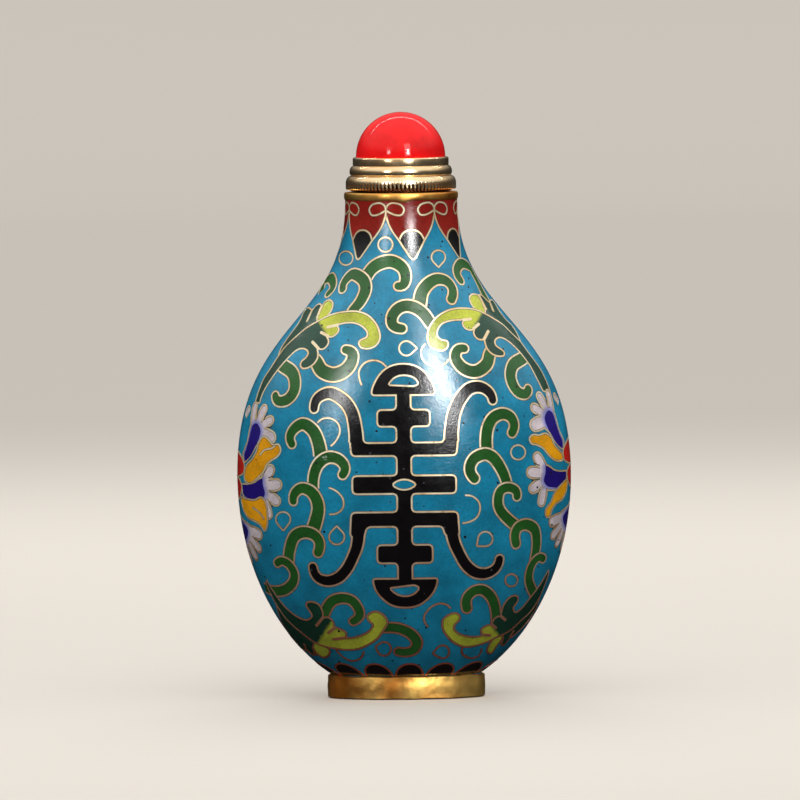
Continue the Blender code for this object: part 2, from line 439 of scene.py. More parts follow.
UPPER_SCROLLS = (
    ([(-4.9, 57.4), (-3.6, 59.0), (-1.5, 59.6), (0.1, 58.7), (0.5, 57.5), (0.2, 56.4), (-0.5, 56.2)],
     (1.9, 1.8, 1.3)),
    ([(-7.3, 52.2), (-6.8, 52.9), (-5.7, 54.2), (-5.0, 55.9), (-5.3, 57.1), (-6.7, 57.9), (-7.9, 56.8),
      (-8.1, 55.9)],
     (1.4, 1.8, 1.3)),
    ([(2.2, 53.0), (2.4, 53.9), (2.7, 55.3), (3.6, 56.5), (4.8, 57.1), (6.1, 56.8), (6.9, 55.7), (6.7, 54.3)],
     (1.9, 1.7, 1.4)),
    ([(4.5, 50.3), (3.9, 51.0), (2.8, 52.5), (1.6, 53.3), (0.5, 53.5), (-0.6, 53.1), (-1.4, 52.0),
      (-1.3, 50.9),
      (-0.1, 50.4)], (1.6, 1.75, 1.4)),
    ([(11.6, 54.1), (11.1, 55.1), (10.0, 57.3), (9.1, 58.8), (8.1, 59.2), (7.5, 58.3), (8.0, 56.9)],
     (1.5, 1.6, 1.3)),
    ([(-11.0, 55.6), (-10.4, 57.1), (-9.7, 57.4), (-9.4, 56.4), (-10.1, 55.3)], (1.4, 1.6, 1.2)),
)
SHOULDER_SCROLLS = (
    ([(-12.7, 46.7), (-11.9, 46.1), (-11.1, 44.8), (-9.5, 44.2), (-7.9, 44.8), (-7.0, 46.0), (-6.9, 47.1),
      (-7.8, 47.6)],
     (1.8, 2.0, 1.3)),
    ([(-17.0, 46.0), (-16.4, 45.5), (-15.2, 44.6), (-14.8, 43.4), (-15.0, 41.9), (-16.0, 40.8), (-17.1, 40.7),
      (-17.5, 41.4)],
     (1.8, 1.85, 1.3)),
    ([(12.7, 47.9), (11.9, 46.8), (11.5, 45.5), (10.2, 44.5), (9.1, 44.5), (7.9, 45.2), (7.2, 46.4),
      (7.5, 47.4), (8.4, 47.6)],
     (1.7, 1.8, 1.3)),
    ([(17.1, 46.7), (16.3, 46.1), (15.1, 45.3), (14.7, 44.0), (15.0, 42.6), (15.8, 41.5), (16.7, 41.3),
      (17.1, 41.9)],
     (1.7, 1.8, 1.4)),
)
LEFT_CHAIN = (
    ([(-11.4, 33.1), (-11.7, 35.0), (-12.4, 36.6), (-13.7, 37.5), (-14.8, 37.0), (-15.5, 35.9),
      (-15.3, 34.8)],
     (1.95, 1.75, 1.3)),
    ([(-12.4, 28.6), (-12.3, 30.6), (-11.6, 32.1), (-10.3, 32.9), (-8.9, 32.6), (-8.1, 31.5), (-8.4, 30.5)],
     (1.5, 1.65, 1.3)),
    ([(-12.7, 22.7), (-12.0, 24.7), (-11.8, 26.1), (-12.2, 27.5), (-13.0, 28.4), (-14.1, 28.7), (-15.0, 28.0),
      (-15.2, 27.0)], (2.0, 1.75, 1.3)),
    ([(-15.9, 18.4), (-15.7, 20.6), (-15.0, 22.2), (-13.8, 22.7), (-12.4, 22.3), (-11.7, 21.3),
      (-11.9, 19.9)],
     (1.7, 1.7, 1.4)),
    ([(-19.2, 15.2), (-18.1, 14.7), (-16.6, 14.8), (-15.4, 15.8), (-15.2, 17.1), (-16.0, 18.4), (-16.9, 18.8),
      (-17.5, 18.5)],
     (1.5, 1.5, 1.2)),
)
RIGHT_CHAIN = (
    ([(11.4, 33.0), (11.3, 35.5), (11.6, 37.0), (12.3, 38.1), (13.5, 38.6), (14.6, 38.2), (15.1, 37.1),
      (14.8, 36.0)],
     (1.72, 1.7, 1.4)),
    ([(14.1, 28.6), (13.4, 30.8), (12.1, 32.7), (11.1, 33.1), (9.6, 32.5), (9.0, 31.1), (9.6, 29.8)],
     (1.5, 1.7, 1.5)),
    ([(15.9, 22.8), (13.9, 24.4), (13.0, 25.6), (12.8, 26.8), (13.2, 28.1), (14.2, 28.5), (15.2, 28.1),
      (15.4, 27.3)],
     (1.6, 1.5, 1.3)),
    ([(17.6, 18.4), (18.0, 21.4), (17.7, 22.8), (16.7, 23.4), (15.6, 23.1), (15.1, 22.2), (15.2, 20.8)],
     (1.5, 1.6, 1.4)),
    ([(18.0, 13.3), (17.4, 14.3), (16.9, 15.8), (17.1, 17.3), (17.7, 18.4), (18.4, 18.9), (18.9, 18.7)],
     (1.5, 1.4, 1.2)),
)
LOWER_SCROLLS = (
    ([(-3.6, 9.4), (-1.9, 9.5), (-0.7, 9.3), (0.8, 8.5), (1.5, 7.4), (1.0, 6.4), (0.0, 6.1), (-1.0, 6.2)],
     (1.4, 1.5, 1.3)),
    ([(-11.4, 10.3), (-10.7, 12.4), (-9.9, 13.3), (-8.6, 13.6), (-7.4, 13.3), (-6.6, 12.4), (-6.3, 11.3),
      (-7.2, 10.4)], (1.4, 1.5, 1.2)),
    ([(12.3, 9.9), (12.2, 12.3), (11.6, 13.7), (10.6, 14.5), (9.4, 14.4), (8.4, 13.4), (8.4, 12.0)],
     (1.4, 1.5, 1.4)),
)


# Leaves that run out of the flowers and end in a lime curl. Each outline is a chain of curves, joined at
# notches. The outer half closes along the shared points of the inner half's first curve.

UPPER_LEFT_LEAF = {
    "outer": [
        [(-17.0, 46.8), (-16.7, 47.7), (-15.9, 49.0), (-14.4, 51.0), (-13.9, 51.8), (-13.4, 52.9),
         (-12.9, 53.4),
         (-12.4, 53.1)],
        [(-12.2, 53.1), (-11.7, 53.7), (-11.2, 53.9), (-11.0, 53.5), (-11.3, 52.7), (-11.6, 51.5)],
    ],
    "shared": slice(3, 8),
    "bud": [
        [(-11.7, 51.5), (-11.5, 52.3), (-11.0, 53.3), (-10.6, 54.1), (-9.9, 54.4), (-9.5, 54.1), (-9.5, 53.5),
         (-9.8, 52.8), (-10.5, 52.0)],
    ],
    "inner": [
        [(-20.2, 40.6), (-19.1, 43.6), (-18.2, 45.0), (-17.0, 46.8), (-16.0, 48.1), (-14.5, 49.5),
         (-13.0, 50.7),
         (-11.6, 51.5), (-9.7, 52.4), (-7.7, 52.8), (-6.1, 52.8), (-4.6, 52.2), (-3.4, 50.7), (-3.1, 49.1),
         (-3.7, 48.1), (-4.8, 47.7), (-5.7, 47.9), (-6.0, 48.5), (-5.7, 48.9), (-4.9, 49.3), (-4.8, 49.9),
         (-5.3, 50.6), (-6.1, 51.1), (-7.2, 51.3), (-8.9, 51.0)],
        [(-8.9, 50.8), (-8.7, 50.3), (-9.0, 49.8), (-9.6, 49.4), (-10.2, 49.4)],
        [(-10.4, 49.4), (-10.1, 48.8), (-10.3, 48.2), (-10.9, 47.7), (-11.5, 47.8)],
        [(-11.7, 47.8), (-11.6, 46.7), (-12.0, 45.9), (-12.7, 45.3), (-13.3, 45.1), (-13.7, 45.1),
         (-14.0, 45.5),
         (-13.8, 46.1), (-13.3, 46.5), (-12.9, 47.2), (-13.1, 47.6), (-13.5, 47.8), (-14.3, 47.7),
         (-16.0, 46.2),
         (-18.0, 43.7), (-19.2, 41.7), (-19.6, 40.4)],
    ],
    "folds": [((-8.8, 51.0), (-10.2, 50.7)), ((-10.2, 49.5), (-11.1, 50.0)), ((-11.5, 47.8), (-12.3, 48.7)),
              ((-12.3, 53.1), (-13.0, 51.6)), ((-11.1, 53.4), (-11.6, 52.1))],
    "turn": (-11.1, 50.9),
}
UPPER_RIGHT_LEAF = {
    "outer": [
        [(16.1, 48.4), (15.6, 49.6), (15.0, 50.6), (14.1, 51.5), (13.1, 52.9), (12.6, 53.8), (12.2, 54.2),
         (11.9, 54.0)],
        [(11.9, 53.8), (11.3, 54.4), (10.9, 54.8), (10.5, 54.9), (11.0, 53.8), (11.3, 52.3)],
    ],
    "shared": slice(4, 10),
    "bud": [
        [(11.3, 52.9), (10.8, 54.1), (10.4, 54.8), (9.9, 55.0), (9.4, 54.9), (9.2, 54.5), (9.4, 53.7),
         (9.8, 53.1),
         (10.2, 52.7), (11.3, 52.3)],
    ],
    "inner": [
        [(20.1, 41.5), (18.9, 44.4), (17.9, 45.9), (17.1, 47.0), (16.1, 48.4), (15.5, 49.0), (14.6, 49.9),
         (13.7, 50.8), (12.5, 51.6), (11.3, 52.3), (10.2, 52.8), (8.4, 53.1), (6.5, 52.9), (4.8, 52.0),
         (3.7, 50.6),
         (3.4, 49.2), (3.7, 48.0), (4.7, 47.4), (5.7, 47.4), (6.2, 48.0), (6.1, 48.6), (5.3, 48.8),
         (4.7, 49.4),
         (4.8, 50.2), (5.4, 51.0), (6.5, 51.4), (7.8, 51.5), (8.4, 51.5)],
        [(8.3, 51.3), (8.2, 51.0), (8.5, 50.4), (9.1, 50.1), (9.7, 50.2)],
        [(9.9, 50.3), (9.7, 49.8), (9.9, 49.2), (10.4, 48.8), (11.0, 48.8)],
        [(11.2, 48.7), (11.3, 48.1), (11.6, 47.4), (12.2, 46.8), (12.9, 46.5), (13.7, 46.5), (13.9, 46.8),
         (13.7, 47.2), (12.7, 48.0), (12.6, 48.6), (13.0, 49.0), (13.5, 49.0), (14.3, 48.6), (15.8, 47.2),
         (17.3, 45.2), (18.2, 43.5), (19.1, 41.6)],
    ],
    "folds": [((8.4, 51.5), (9.3, 51.6)), ((9.7, 50.3), (10.4, 50.9)), ((11.1, 48.8), (11.7, 49.9)),
              ((12.0, 53.8), (12.4, 52.7)), ((10.5, 54.8), (11.4, 53.0))],
    "turn": (10.4, 51.6),
}
LOWER_LEFT_LEAF = {
    "outer": [
        [(-17.7, 12.9), (-17.0, 10.6), (-16.0, 8.8), (-15.2, 7.7), (-14.5, 6.9), (-13.7, 6.5)],
        [(-13.5, 6.6), (-12.8, 5.9), (-12.2, 6.0), (-12.5, 7.6)],
    ],
    "shared": slice(1, 5),
    "bud": [
        [(-12.5, 7.6), (-12.7, 6.9), (-12.1, 6.0), (-11.2, 5.5), (-10.5, 5.9), (-10.5, 6.6), (-11.1, 7.0)],
    ],
    "inner": [
        [(-19.0, 15.7), (-17.7, 12.9), (-16.2, 10.7), (-14.0, 8.7), (-12.5, 7.6), (-11.1, 7.0), (-9.6, 6.7),
         (-8.1, 6.5), (-6.6, 6.6), (-5.1, 7.2), (-3.9, 8.0), (-3.0, 9.2), (-2.5, 10.3), (-2.9, 11.1),
         (-3.9, 11.7),
         (-4.9, 11.5), (-5.3, 11.0), (-5.0, 10.4), (-4.5, 9.9), (-4.7, 9.4), (-5.4, 8.8), (-6.6, 8.3),
         (-8.1, 8.1)],
        [(-8.2, 8.3), (-8.2, 8.9), (-9.0, 9.4), (-9.7, 9.6)],
        [(-9.8, 9.8), (-10.0, 10.5), (-10.6, 11.0), (-11.3, 10.9)],
        [(-11.3, 11.2), (-11.4, 11.9), (-11.8, 12.7), (-12.5, 13.1), (-13.4, 13.1), (-13.6, 12.7),
         (-13.2, 12.0),
         (-12.8, 11.2), (-13.4, 10.7), (-14.4, 10.9), (-16.3, 12.3), (-17.9, 14.4), (-19.0, 16.3)],
    ],
    "folds": [((-8.1, 8.2), (-9.9, 8.0)), ((-9.7, 9.6), (-10.6, 8.9)), ((-11.3, 11.0), (-12.2, 9.9)),
              ((-13.6, 6.5), (-13.9, 7.3)), ((-12.5, 6.1), (-12.7, 6.9))],
    "turn": (-11.3, 8.7),
}
LOWER_RIGHT_LEAF = {
    "outer": [
        [(18.4, 13.6), (17.6, 11.5), (16.3, 9.7), (15.1, 8.5), (14.3, 7.9)],
        [(14.2, 8.0), (13.9, 7.5), (13.3, 6.9), (13.0, 7.1), (13.3, 8.4)],
    ],
    "shared": slice(1, 6),
    "bud": [
        [(13.3, 8.4), (13.1, 7.8), (12.4, 6.8), (11.6, 5.8), (11.1, 6.0), (11.3, 6.9), (11.8, 7.6),
         (12.3, 8.0)],
    ],
    "inner": [
        [(19.6, 16.7), (18.4, 13.6), (17.1, 11.5), (15.7, 10.2), (14.5, 9.1), (13.3, 8.4), (12.3, 8.0),
         (11.4, 7.5),
         (10.3, 7.1), (9.0, 6.8), (7.7, 6.8), (6.5, 7.4), (5.5, 8.4), (5.0, 9.5), (5.1, 10.5), (5.8, 11.1),
         (6.8, 11.4), (7.4, 11.0), (7.3, 10.4), (6.7, 9.8), (6.6, 9.2), (7.2, 8.6), (8.3, 8.2), (9.6, 8.1),
         (10.4, 8.3)],
        [(10.4, 8.5), (10.3, 9.1), (11.0, 9.6), (11.6, 9.7)],
        [(11.8, 9.9), (12.3, 10.7), (13.0, 10.9)],
        [(13.0, 11.0), (13.1, 11.5), (13.4, 12.4), (14.3, 13.5), (15.1, 13.7), (15.4, 13.4), (15.2, 12.7),
         (14.7, 12.0), (15.0, 11.4), (15.8, 11.9), (16.9, 13.2), (18.3, 15.0), (19.6, 17.2)],
    ],
    "folds": [((10.4, 8.4), (11.5, 8.3)), ((11.7, 9.8), (12.3, 9.3)), ((13.0, 10.9), (13.6, 10.4)),
              ((14.2, 8.0), (14.7, 8.8)), ((13.0, 7.1), (13.2, 7.9))],
    "turn": (12.3, 8.8),
}
FOLD_WIDTH = 0.42
TURN_LENGTH = 1.0
TURN_ACROSS = 0.85
TURN_AWAY = 0.53


def chained(segments):
    return on_front(np.vstack([curve(segment) for segment in segments]))


def paint_leaf(painting, leaf):
    """Both halves of one leaf. The inner half turns from dark green to lime on its way to the curl."""
    turn_t, turn_z = on_front([leaf["turn"]])[0]
    turn_place = skin_position(turn_t, turn_z)
    side = np.sign(turn_place[0])
    tip = np.sign(turn_z - BELLY_Z)

    def lime(t, z):
        away = skin_position(t, z) - turn_place
        ahead = TURN_AWAY * tip * away[..., 2] - TURN_ACROSS * side * away[..., 0]
        return np.clip(0.5 + ahead / TURN_LENGTH, 0, 1)

    shared = leaf["inner"][0][leaf["shared"]][::-1]
    painting.cell(patch(chained(leaf["outer"] + [shared])), "leaf", evenly(0))
    painting.cell(patch(chained(leaf["bud"])), "leaf", evenly(1))
    painting.cell(patch(chained(leaf["inner"])), "leaf", lime)
    for ends in leaf["folds"]:
        painting.fill(band(on_front(curve(ends)), (FOLD_WIDTH,) * 3, round_base=True)(0), "wire")


# Small rings and open wires: (centre, radius, point or None) and paths

RINGS = (
    ((-7.6, 60.1), 0.95, None), ((-2.2, 61.9), 1.0, None), ((5.0, 60.1), 0.95, (5.0, 58.7)),
    ((0.5, 47.7), 1.0, (2.0, 47.7)), ((15.6, 33.3), 1.0, None), ((11.0, 21.5), 1.0, (9.8, 20.5)),
    ((14.5, 15.8), 0.85, None), ((-9.3, 22.0), 1.05, (-9.3, 23.5)), ((-16.6, 24.5), 1.0, (-16.6, 22.9)),
    ((-3.0, 6.6), 0.95, (-4.2, 6.9)), ((5.0, 6.1), 0.9, (3.6, 5.9)),
)
LOOSE_WIRES = (
    [(-11.7, 37.7), (-11.0, 38.2), (-9.9, 38.2), (-9.0, 37.6), (-8.7, 36.5), (-9.1, 35.4), (-9.9, 34.5)],
    [(-10.2, 28.7), (-9.2, 28.2), (-8.4, 27.2), (-8.4, 26.0), (-9.1, 25.3), (-10.2, 25.1)],
    [(8.4, 27.5), (9.4, 27.3), (10.2, 26.5), (10.3, 25.4), (9.7, 24.3), (8.0, 23.7)],
    [(-2.2, 45.1), (-3.1, 45.9), (-4.2, 46.1), (-5.3, 45.7), (-6.0, 44.7), (-6.0, 43.8), (-5.7, 42.8)],
    [(3.0, 48.2), (2.5, 47.3), (2.7, 46.2), (3.5, 45.4), (4.6, 45.2), (5.7, 45.5), (6.2, 46.1)],
    [(-9.6, 6.6), (-8.7, 5.6), (-7.5, 5.0), (-6.3, 5.3), (-5.8, 6.2)],
    [(3.0, 9.6), (2.5, 10.8), (3.3, 12.1), (4.5, 12.7), (5.5, 12.6), (6.1, 12.1)],
    [(7.7, 6.7), (7.7, 5.8), (8.7, 5.2), (9.9, 5.5), (10.3, 6.4)],
)


def paint_face(painting):
    """Everything on one broad face."""
    for points in LOOSE_WIRES:
        painting.wire(on_front(curve(points)))
    for centre, radius, point in RINGS:
        painting.ring(on_front(drop(centre, radius, point)))
    for points, widths in UPPER_SCROLLS + SHOULDER_SCROLLS + LEFT_CHAIN + RIGHT_CHAIN + LOWER_SCROLLS:
        painting.cell(band(on_front(curve(points)), widths), "green")
    for leaf in (UPPER_LEFT_LEAF, UPPER_RIGHT_LEAF, LOWER_LEFT_LEAF, LOWER_RIGHT_LEAF):
        paint_leaf(painting, leaf)
    paint_emblem(painting)


# Flowers on the narrow sides, as (distance round from the side, height)

FLOWER_HEART = (
    [(0.0, 35.3), (2.3, 34.9), (4.0, 33.6), (3.9, 32.5), (2.2, 31.9), (0.0, 31.8)],
    [(0.0, 31.8), (2.0, 31.6), (3.1, 30.7), (2.6, 29.4), (1.3, 28.7), (0.0, 28.5)],
)
UPPER_PETAL = {
    "body": [(4.0, 33.9), (5.6, 34.8), (6.7, 36.2), (8.0, 37.4), (7.9, 38.6), (7.1, 39.4), (6.0, 39.8),
             (4.9, 39.6),
             (4.6, 38.4), (4.4, 36.6), (3.5, 34.9)],
    "lobes": [((7.2, 37.9), (9.1, 37.4), 1.9), ((6.9, 38.8), (8.5, 39.7), 1.35), ((6.1, 39.2), (6.8, 41.2),
                                                                                  1.3),
              ((5.1, 39.2), (4.6, 41.5), 1.2)],
    "folds": [((8.2, 38.7), (9.1, 38.8)), ((7.3, 39.7), (7.8, 40.6)), ((5.8, 40.0), (5.7, 41.2))],
    "core": [(4.1, 33.9, 0.2), (5.7, 34.7, 1.0), (7.1, 37.2, 0.9), (7.2, 38.4, 0.7), (6.0, 39.4, 0.9),
             (5.0, 39.0, 0.7), (4.7, 36.4, 1.0), (3.8, 34.9, 0.3)],
}
SIDE_PETAL = {
    "body": [(3.4, 30.8), (4.9, 30.9), (6.3, 31.1), (7.6, 31.8), (8.6, 31.9), (9.1, 31.2), (9.1, 30.0),
             (8.9, 29.0),
             (7.9, 28.5), (5.5, 28.5), (3.5, 29.3)],
    "lobes": [((8.3, 31.2), (9.5, 33.0), 1.5), ((8.8, 30.8), (10.6, 31.0), 1.65), ((8.9, 29.6), (10.3, 28.8),
                                                                                   1.5),
              ((8.4, 28.8), (8.7, 26.9), 1.35)],
    "folds": [((9.2, 31.9), (10.1, 32.2)), ((9.5, 30.0), (10.6, 29.9)), ((9.1, 28.6), (9.6, 27.9))],
    "core": [(3.3, 30.8, 0.2), (4.9, 30.8, 0.5), (6.4, 31.0, 0.6), (8.2, 31.9, 0.4), (8.1, 31.0, 0.5),
             (8.6, 29.7, 0.5), (7.8, 28.9, 0.5), (5.5, 28.6, 0.8), (3.4, 29.5, 0.2)],
}
BOTTOM_PETAL = {
    "body": [(-2.4, 25.9), (0.0, 26.6), (2.4, 25.9), (4.4, 25.2), (4.8, 24.3), (4.2, 23.4), (3.3, 22.8),
             (1.8, 22.3),
             (0.0, 22.1), (-1.8, 22.3), (-3.3, 22.8), (-4.2, 23.4), (-4.8, 24.3), (-4.4, 25.2)],
    "lobes": [((3.9, 24.6), (6.0, 24.1), 1.6), ((3.6, 23.7), (5.2, 22.2), 1.35), ((2.7, 23.0), (3.7, 21.0),
                                                                                  1.25),
              ((1.2, 22.8), (1.4, 20.5), 1.3)],
    "folds": [((4.9, 23.5), (5.8, 23.1)), ((4.0, 22.5), (4.6, 21.6)), ((2.4, 22.1), (2.6, 20.9)),
              ((0.0, 22.0), (0.0, 20.9))],
    "core": [(0.0, 26.2, 0.8), (2.2, 25.5, 0.6), (3.6, 24.7, 0.6), (3.2, 23.9, 0.6), (1.6, 23.0, 0.8),
             (0.0, 22.8, 0.6),
             (-1.6, 23.0, 0.8), (-3.2, 23.9, 0.6), (-3.6, 24.7, 0.6), (-2.2, 25.5, 0.6)],
}
ORANGE_RIGHT = (
    [(4.0, 32.6), (5.2, 32.3), (6.3, 32.5), (7.4, 33.2), (8.4, 34.2), (9.5, 34.7), (10.3, 34.9), (10.5, 35.6),
     (9.8, 36.1), (8.8, 36.0), (7.6, 36.2), (6.6, 35.7), (5.9, 34.4), (4.4, 33.3)],
    [(2.9, 29.7), (4.9, 29.0), (6.3, 28.0), (6.9, 26.8), (7.8, 25.8), (7.6, 24.9), (6.9, 24.7), (6.5, 25.8),
     (5.8, 26.5), (4.4, 27.0), (3.2, 28.1)],
)
ORANGE_LEFT = (
    [(4.1, 31.6), (4.6, 33.4), (5.9, 34.3), (6.8, 35.5), (7.1, 36.7), (7.9, 37.5), (9.0, 37.0), (9.7, 36.4),
     (10.6, 36.5), (11.1, 35.7), (10.7, 34.9), (9.7, 34.3), (8.8, 33.6), (8.4, 32.8), (7.0, 31.7),
     (5.4, 31.0)],
    [(2.6, 29.0), (4.2, 28.9), (6.3, 28.8), (7.7, 29.2), (8.4, 28.6), (8.5, 26.9), (8.1, 25.3), (7.4, 24.6),
     (6.8, 25.4), (5.6, 25.9), (4.2, 26.3), (3.0, 27.4)],
)
ORANGE_LEFT_VEINS = (
    [(7.6, 35.0), (8.4, 35.7), (9.5, 35.9), (10.0, 36.2)],
    [(5.8, 27.7), (7.0, 27.1), (7.7, 26.3)],
)
SIDE_BUD = ((2.3, 40.2), (2.8, 40.9), 1.2)
# Width of the dark line down each fold between two wires: partly a dark joint, partly painted shade
FOLD_EDGE_AND_SHADE = 0.14
LEFT_FLOWER_SHIFT = -1.3
LAVENDER_REACH = 0.9


def paint_petal(painting, petal, place, both):
    """A scalloped petal, white at its rim, running through lavender to its cobalt core."""
    flips = (1, -1) if both else (1,)

    def stroke(start, end, flip, widths, **ends):
        return band(place(curve([(flip * start[0], start[1]), (flip * end[0], end[1])])), widths, **ends)

    shapes = [patch(place(curve(petal["body"], closed=True)))]
    for flip in flips:
        for start, end, width in petal["lobes"]:
            shapes.append(stroke(start, end, flip, (width * 0.8, width, width * 0.95)))
    core = resampled(place(rounded(petal["core"], 0.5)), closed=True)
    core_place = skin_position(*core.T)

    def lavender(t, z):
        spots = skin_position(t, z)
        near = np.linalg.norm(spots[..., None, :] - core_place, axis=-1).min(axis=-1)
        return np.clip(1 - near / LAVENDER_REACH, 0, 1)

    painting.joined(shapes, "petal", lavender)
    painting.fill(core, "cobalt")
    # A dark line down each fold, partly painted shade between the two wires
    for flip in flips:
        for start, end in petal["folds"]:
            painting.fill(stroke(start, end, flip, (FOLD_EDGE_AND_SHADE,) * 3, round_base=True)(0), "seam")


def paint_flower(painting, side, shift, oranges, veins):
    for flip in (1, -1):

        def place(drawn, flip=flip):
            return on_side([(flip * p[0], p[1] + shift) for p in drawn], side)

        painting.cell(band(place(curve(SIDE_BUD[:2])), (SIDE_BUD[2],) * 3), "petal", evenly(0))
        paint_petal(painting, UPPER_PETAL, place, both=False)
        paint_petal(painting, SIDE_PETAL, place, both=False)
        for loop in oranges:
            painting.cell(patch(place(curve(loop, closed=True))), "orange")
        for vein in veins:
            painting.wire(place(curve(vein)))

    def upright(drawn):
        return on_side([(p[0], p[1] + shift) for p in drawn], side)

    paint_petal(painting, BOTTOM_PETAL, upright, both=True)
    for half in FLOWER_HEART:
        loop = half + [(-s, z) for s, z in half[-2:0:-1]]
        painting.cell(patch(upright(curve(loop, closed=True))), "red")


# Neck lappets and the scallops above the foot, both all the way round

LAPPET_COUNT = 7
LAPPET_START = math.radians(10)
LAPPET_TOP = 66.4
LAPPET_EDGE = [(0.0, 60.1), (6.5, 61.35), (12.0, 62.6), (17.5, 63.65), (22.0, 64.7), (24.8, 65.8),
               (25.6, 66.4)]
LAPPET_LOOP = [(25.3, 67.1), (21.5, 67.7), (15.5, 67.75), (9.2, 67.4), (7.0, 66.85), (9.0, 66.25),
               (13.5, 66.1),
               (19.0, 66.3), (24.6, 66.7)]
DROP_ARCH = [(12.2, 62.65), (9.8, 63.45), (5.4, 63.95), (0.0, 64.1)]
SCALLOP_COUNT = 13
SCALLOP_SHIFT = 0.42
SCALLOP_HALF = 1.95
SCALLOP_TOP = 5.0


def both_sides(half):
    """A path given as (degrees, height) down one side, joined at its end to its mirror image."""
    return half[:-1] + [(-d, z) for d, z in reversed(half)]


def paint_neck(painting):
    edge = both_sides(LAPPET_LOOP[::-1] + LAPPET_EDGE[::-1])
    red_edge = both_sides([(25.7, SKIN_HIGH + 0.5)] + LAPPET_EDGE[::-1])
    arch = both_sides(DROP_ARCH)
    for k in range(LAPPET_COUNT):
        centre = LAPPET_START + k * 2 * math.pi / LAPPET_COUNT

        def round_neck(degrees_and_height, centre=centre):
            turned = np.asarray(degrees_and_height, float)
            return np.stack([centre + np.radians(turned[:, 0]), turned[:, 1]], axis=-1)

        painting.fill(resampled(round_neck(red_edge), closed=True), "neck_red")
        black = both_sides([(12.0, 62.6)] + LAPPET_EDGE[1::-1])
        painting.fill(resampled(round_neck(black + both_sides(DROP_ARCH)[::-1]), closed=True), "black")
        painting.wire(round_neck(curve(arch)))
        painting.wire(round_neck(curve(edge)))


def paint_scallops(painting):
    """Half-ovals of equal width, standing in a row round the foot."""
    turns = np.linspace(0, 2 * math.pi, 2001)
    a, b = half_sizes(np.full(2001, BODY_BASE_Z))
    ring = np.stack([a * np.sin(turns), -b * np.cos(turns)], axis=-1)
    along = np.concatenate([[0], np.cumsum(np.linalg.norm(np.diff(ring, axis=0), axis=1))])
    spacing = along[-1] / SCALLOP_COUNT
    arch = np.linspace(0, math.pi, 17)
    for k in range(SCALLOP_COUNT):
        across = (k * spacing + SCALLOP_SHIFT + SCALLOP_HALF * np.cos(arch)) % along[-1]
        t = np.unwrap(np.interp(across, along, turns))
        z = SKIN_LOW - 0.5 + (SCALLOP_TOP - SKIN_LOW + 0.5) * np.sin(arch)
        painting.cell(patch(np.stack([t, z], axis=-1)), "foot_black")


# From the painting to meshes


def signed_area(loop):
    x, y = loop.T
    return np.sum(x * np.roll(y, -1) - y * np.roll(x, -1)) / 2


def grid_points(step, wanted):
    """Staggered points over the part of the skin that is wanted."""
    points = []
    for row, z in enumerate(np.arange(SKIN_LOW + GRID_MARGIN + step / 2, SKIN_HIGH - GRID_MARGIN,
                                      step * 0.9)):
        a, b = half_sizes(z)
        girth = math.pi * (3 * (a + b) - math.sqrt((3 * a + b) * (a + 3 * b)))
        count = int(girth / step)
        turns = (np.arange(count) + 0.5 * (row % 2)) * 2 * math.pi / count
        points.append(np.stack([turns, np.full(count, z)], axis=-1))
    points = np.vstack(points)
    return points[wanted(points)]


def planar_map(painting):
    """Triangles of the whole skin: their corners as (angle, height), and for each the cell it belongs to."""
    corners, faces = [], []

    def add(flat):
        if signed_area(flat) < 0:
            flat = flat[::-1]
        faces.append(list(range(len(corners), len(corners) + len(flat))))
        corners.extend(flat)

    turns = np.linspace(0, 2 * math.pi, 160, endpoint=False)
    for z in (SKIN_HIGH, SKIN_LOW):
        add(flat_map(turns, np.full(len(turns), z)))
    for outline, _, _ in painting.cells:
        add(flat_map(*outline.T))

    def near_flower(points):
        from_side = np.abs(np.cos(points[:, 0]))
        low, high = FLOWER_HEIGHTS
        return (from_side < FLOWER_SPREAD) & (points[:, 1] > low) & (points[:, 1] < high)

    coarse = grid_points(GRID_STEP, lambda p: ~near_flower(p))
    fine = grid_points(FLOWER_GRID_STEP, near_flower)
    corners.extend(flat_map(*np.vstack([coarse, fine]).T))
    found = delaunay_2d_cdt([Vector(c) for c in corners], [], faces, 1, 1e-6, True)
    flat = np.array([(v.x, v.y) for v in found[0]])
    angle = np.arctan2(flat[:, 1], flat[:, 0])
    height = np.interp(np.hypot(flat[:, 0], flat[:, 1]), RING_RADIUS, RING_Z)
    triangles, cells = [], []
    for triangle, owners in zip(found[2], found[5]):
        if 0 in owners and 1 not in owners:
            triangles.append(triangle)
            cells.append(max(max(owners) - 2, -1))
    return np.stack([angle, height], axis=-1), np.array(triangles), np.array(cells)


def make_object(name, vertices, faces):
    mesh = bpy.data.meshes.new(name)
    mesh.from_pydata((np.asarray(vertices) * MM).tolist(), [], [list(map(int, face)) for face in faces])
    mesh.update()
    mesh.shade_smooth()
    piece = bpy.data.objects.new(name, mesh)
    bpy.context.scene.collection.objects.link(piece)
    return piece


def inlay(name, spots, triangles, top, depth, blend=None):
    """A closed thin solid made from triangles of the skin: its top at one lift, its bottom at a depth."""
    used, inverse = np.unique(triangles, return_inverse=True)
    tops = inverse.reshape(-1, 3)[:, ::-1]
    t, z = spots[used].T
    count = len(used)
    edges = np.concatenate([tops[:, [0, 1]], tops[:, [1, 2]], tops[:, [2, 0]]])
    known = set(map(tuple, edges))
    walls = []
    for a, b in edges:
        if (b, a) not in known:
            walls.append((b, a, a + count, b + count))
    vertices = np.vstack([skin_position(t, z, top), skin_position(t, z, -depth)])
    faces = list(tops) + list(tops[:, ::-1] + count) + walls
    piece = make_object(name, vertices, faces)
    piece.data.set_sharp_from_angle(angle=math.radians(50))
    if blend is not None:
        layer = piece.data.attributes.new("blend", "FLOAT", "POINT")
        layer.data.foreach_set("value", np.tile(blend[used], 2).astype(np.float32))
    return piece


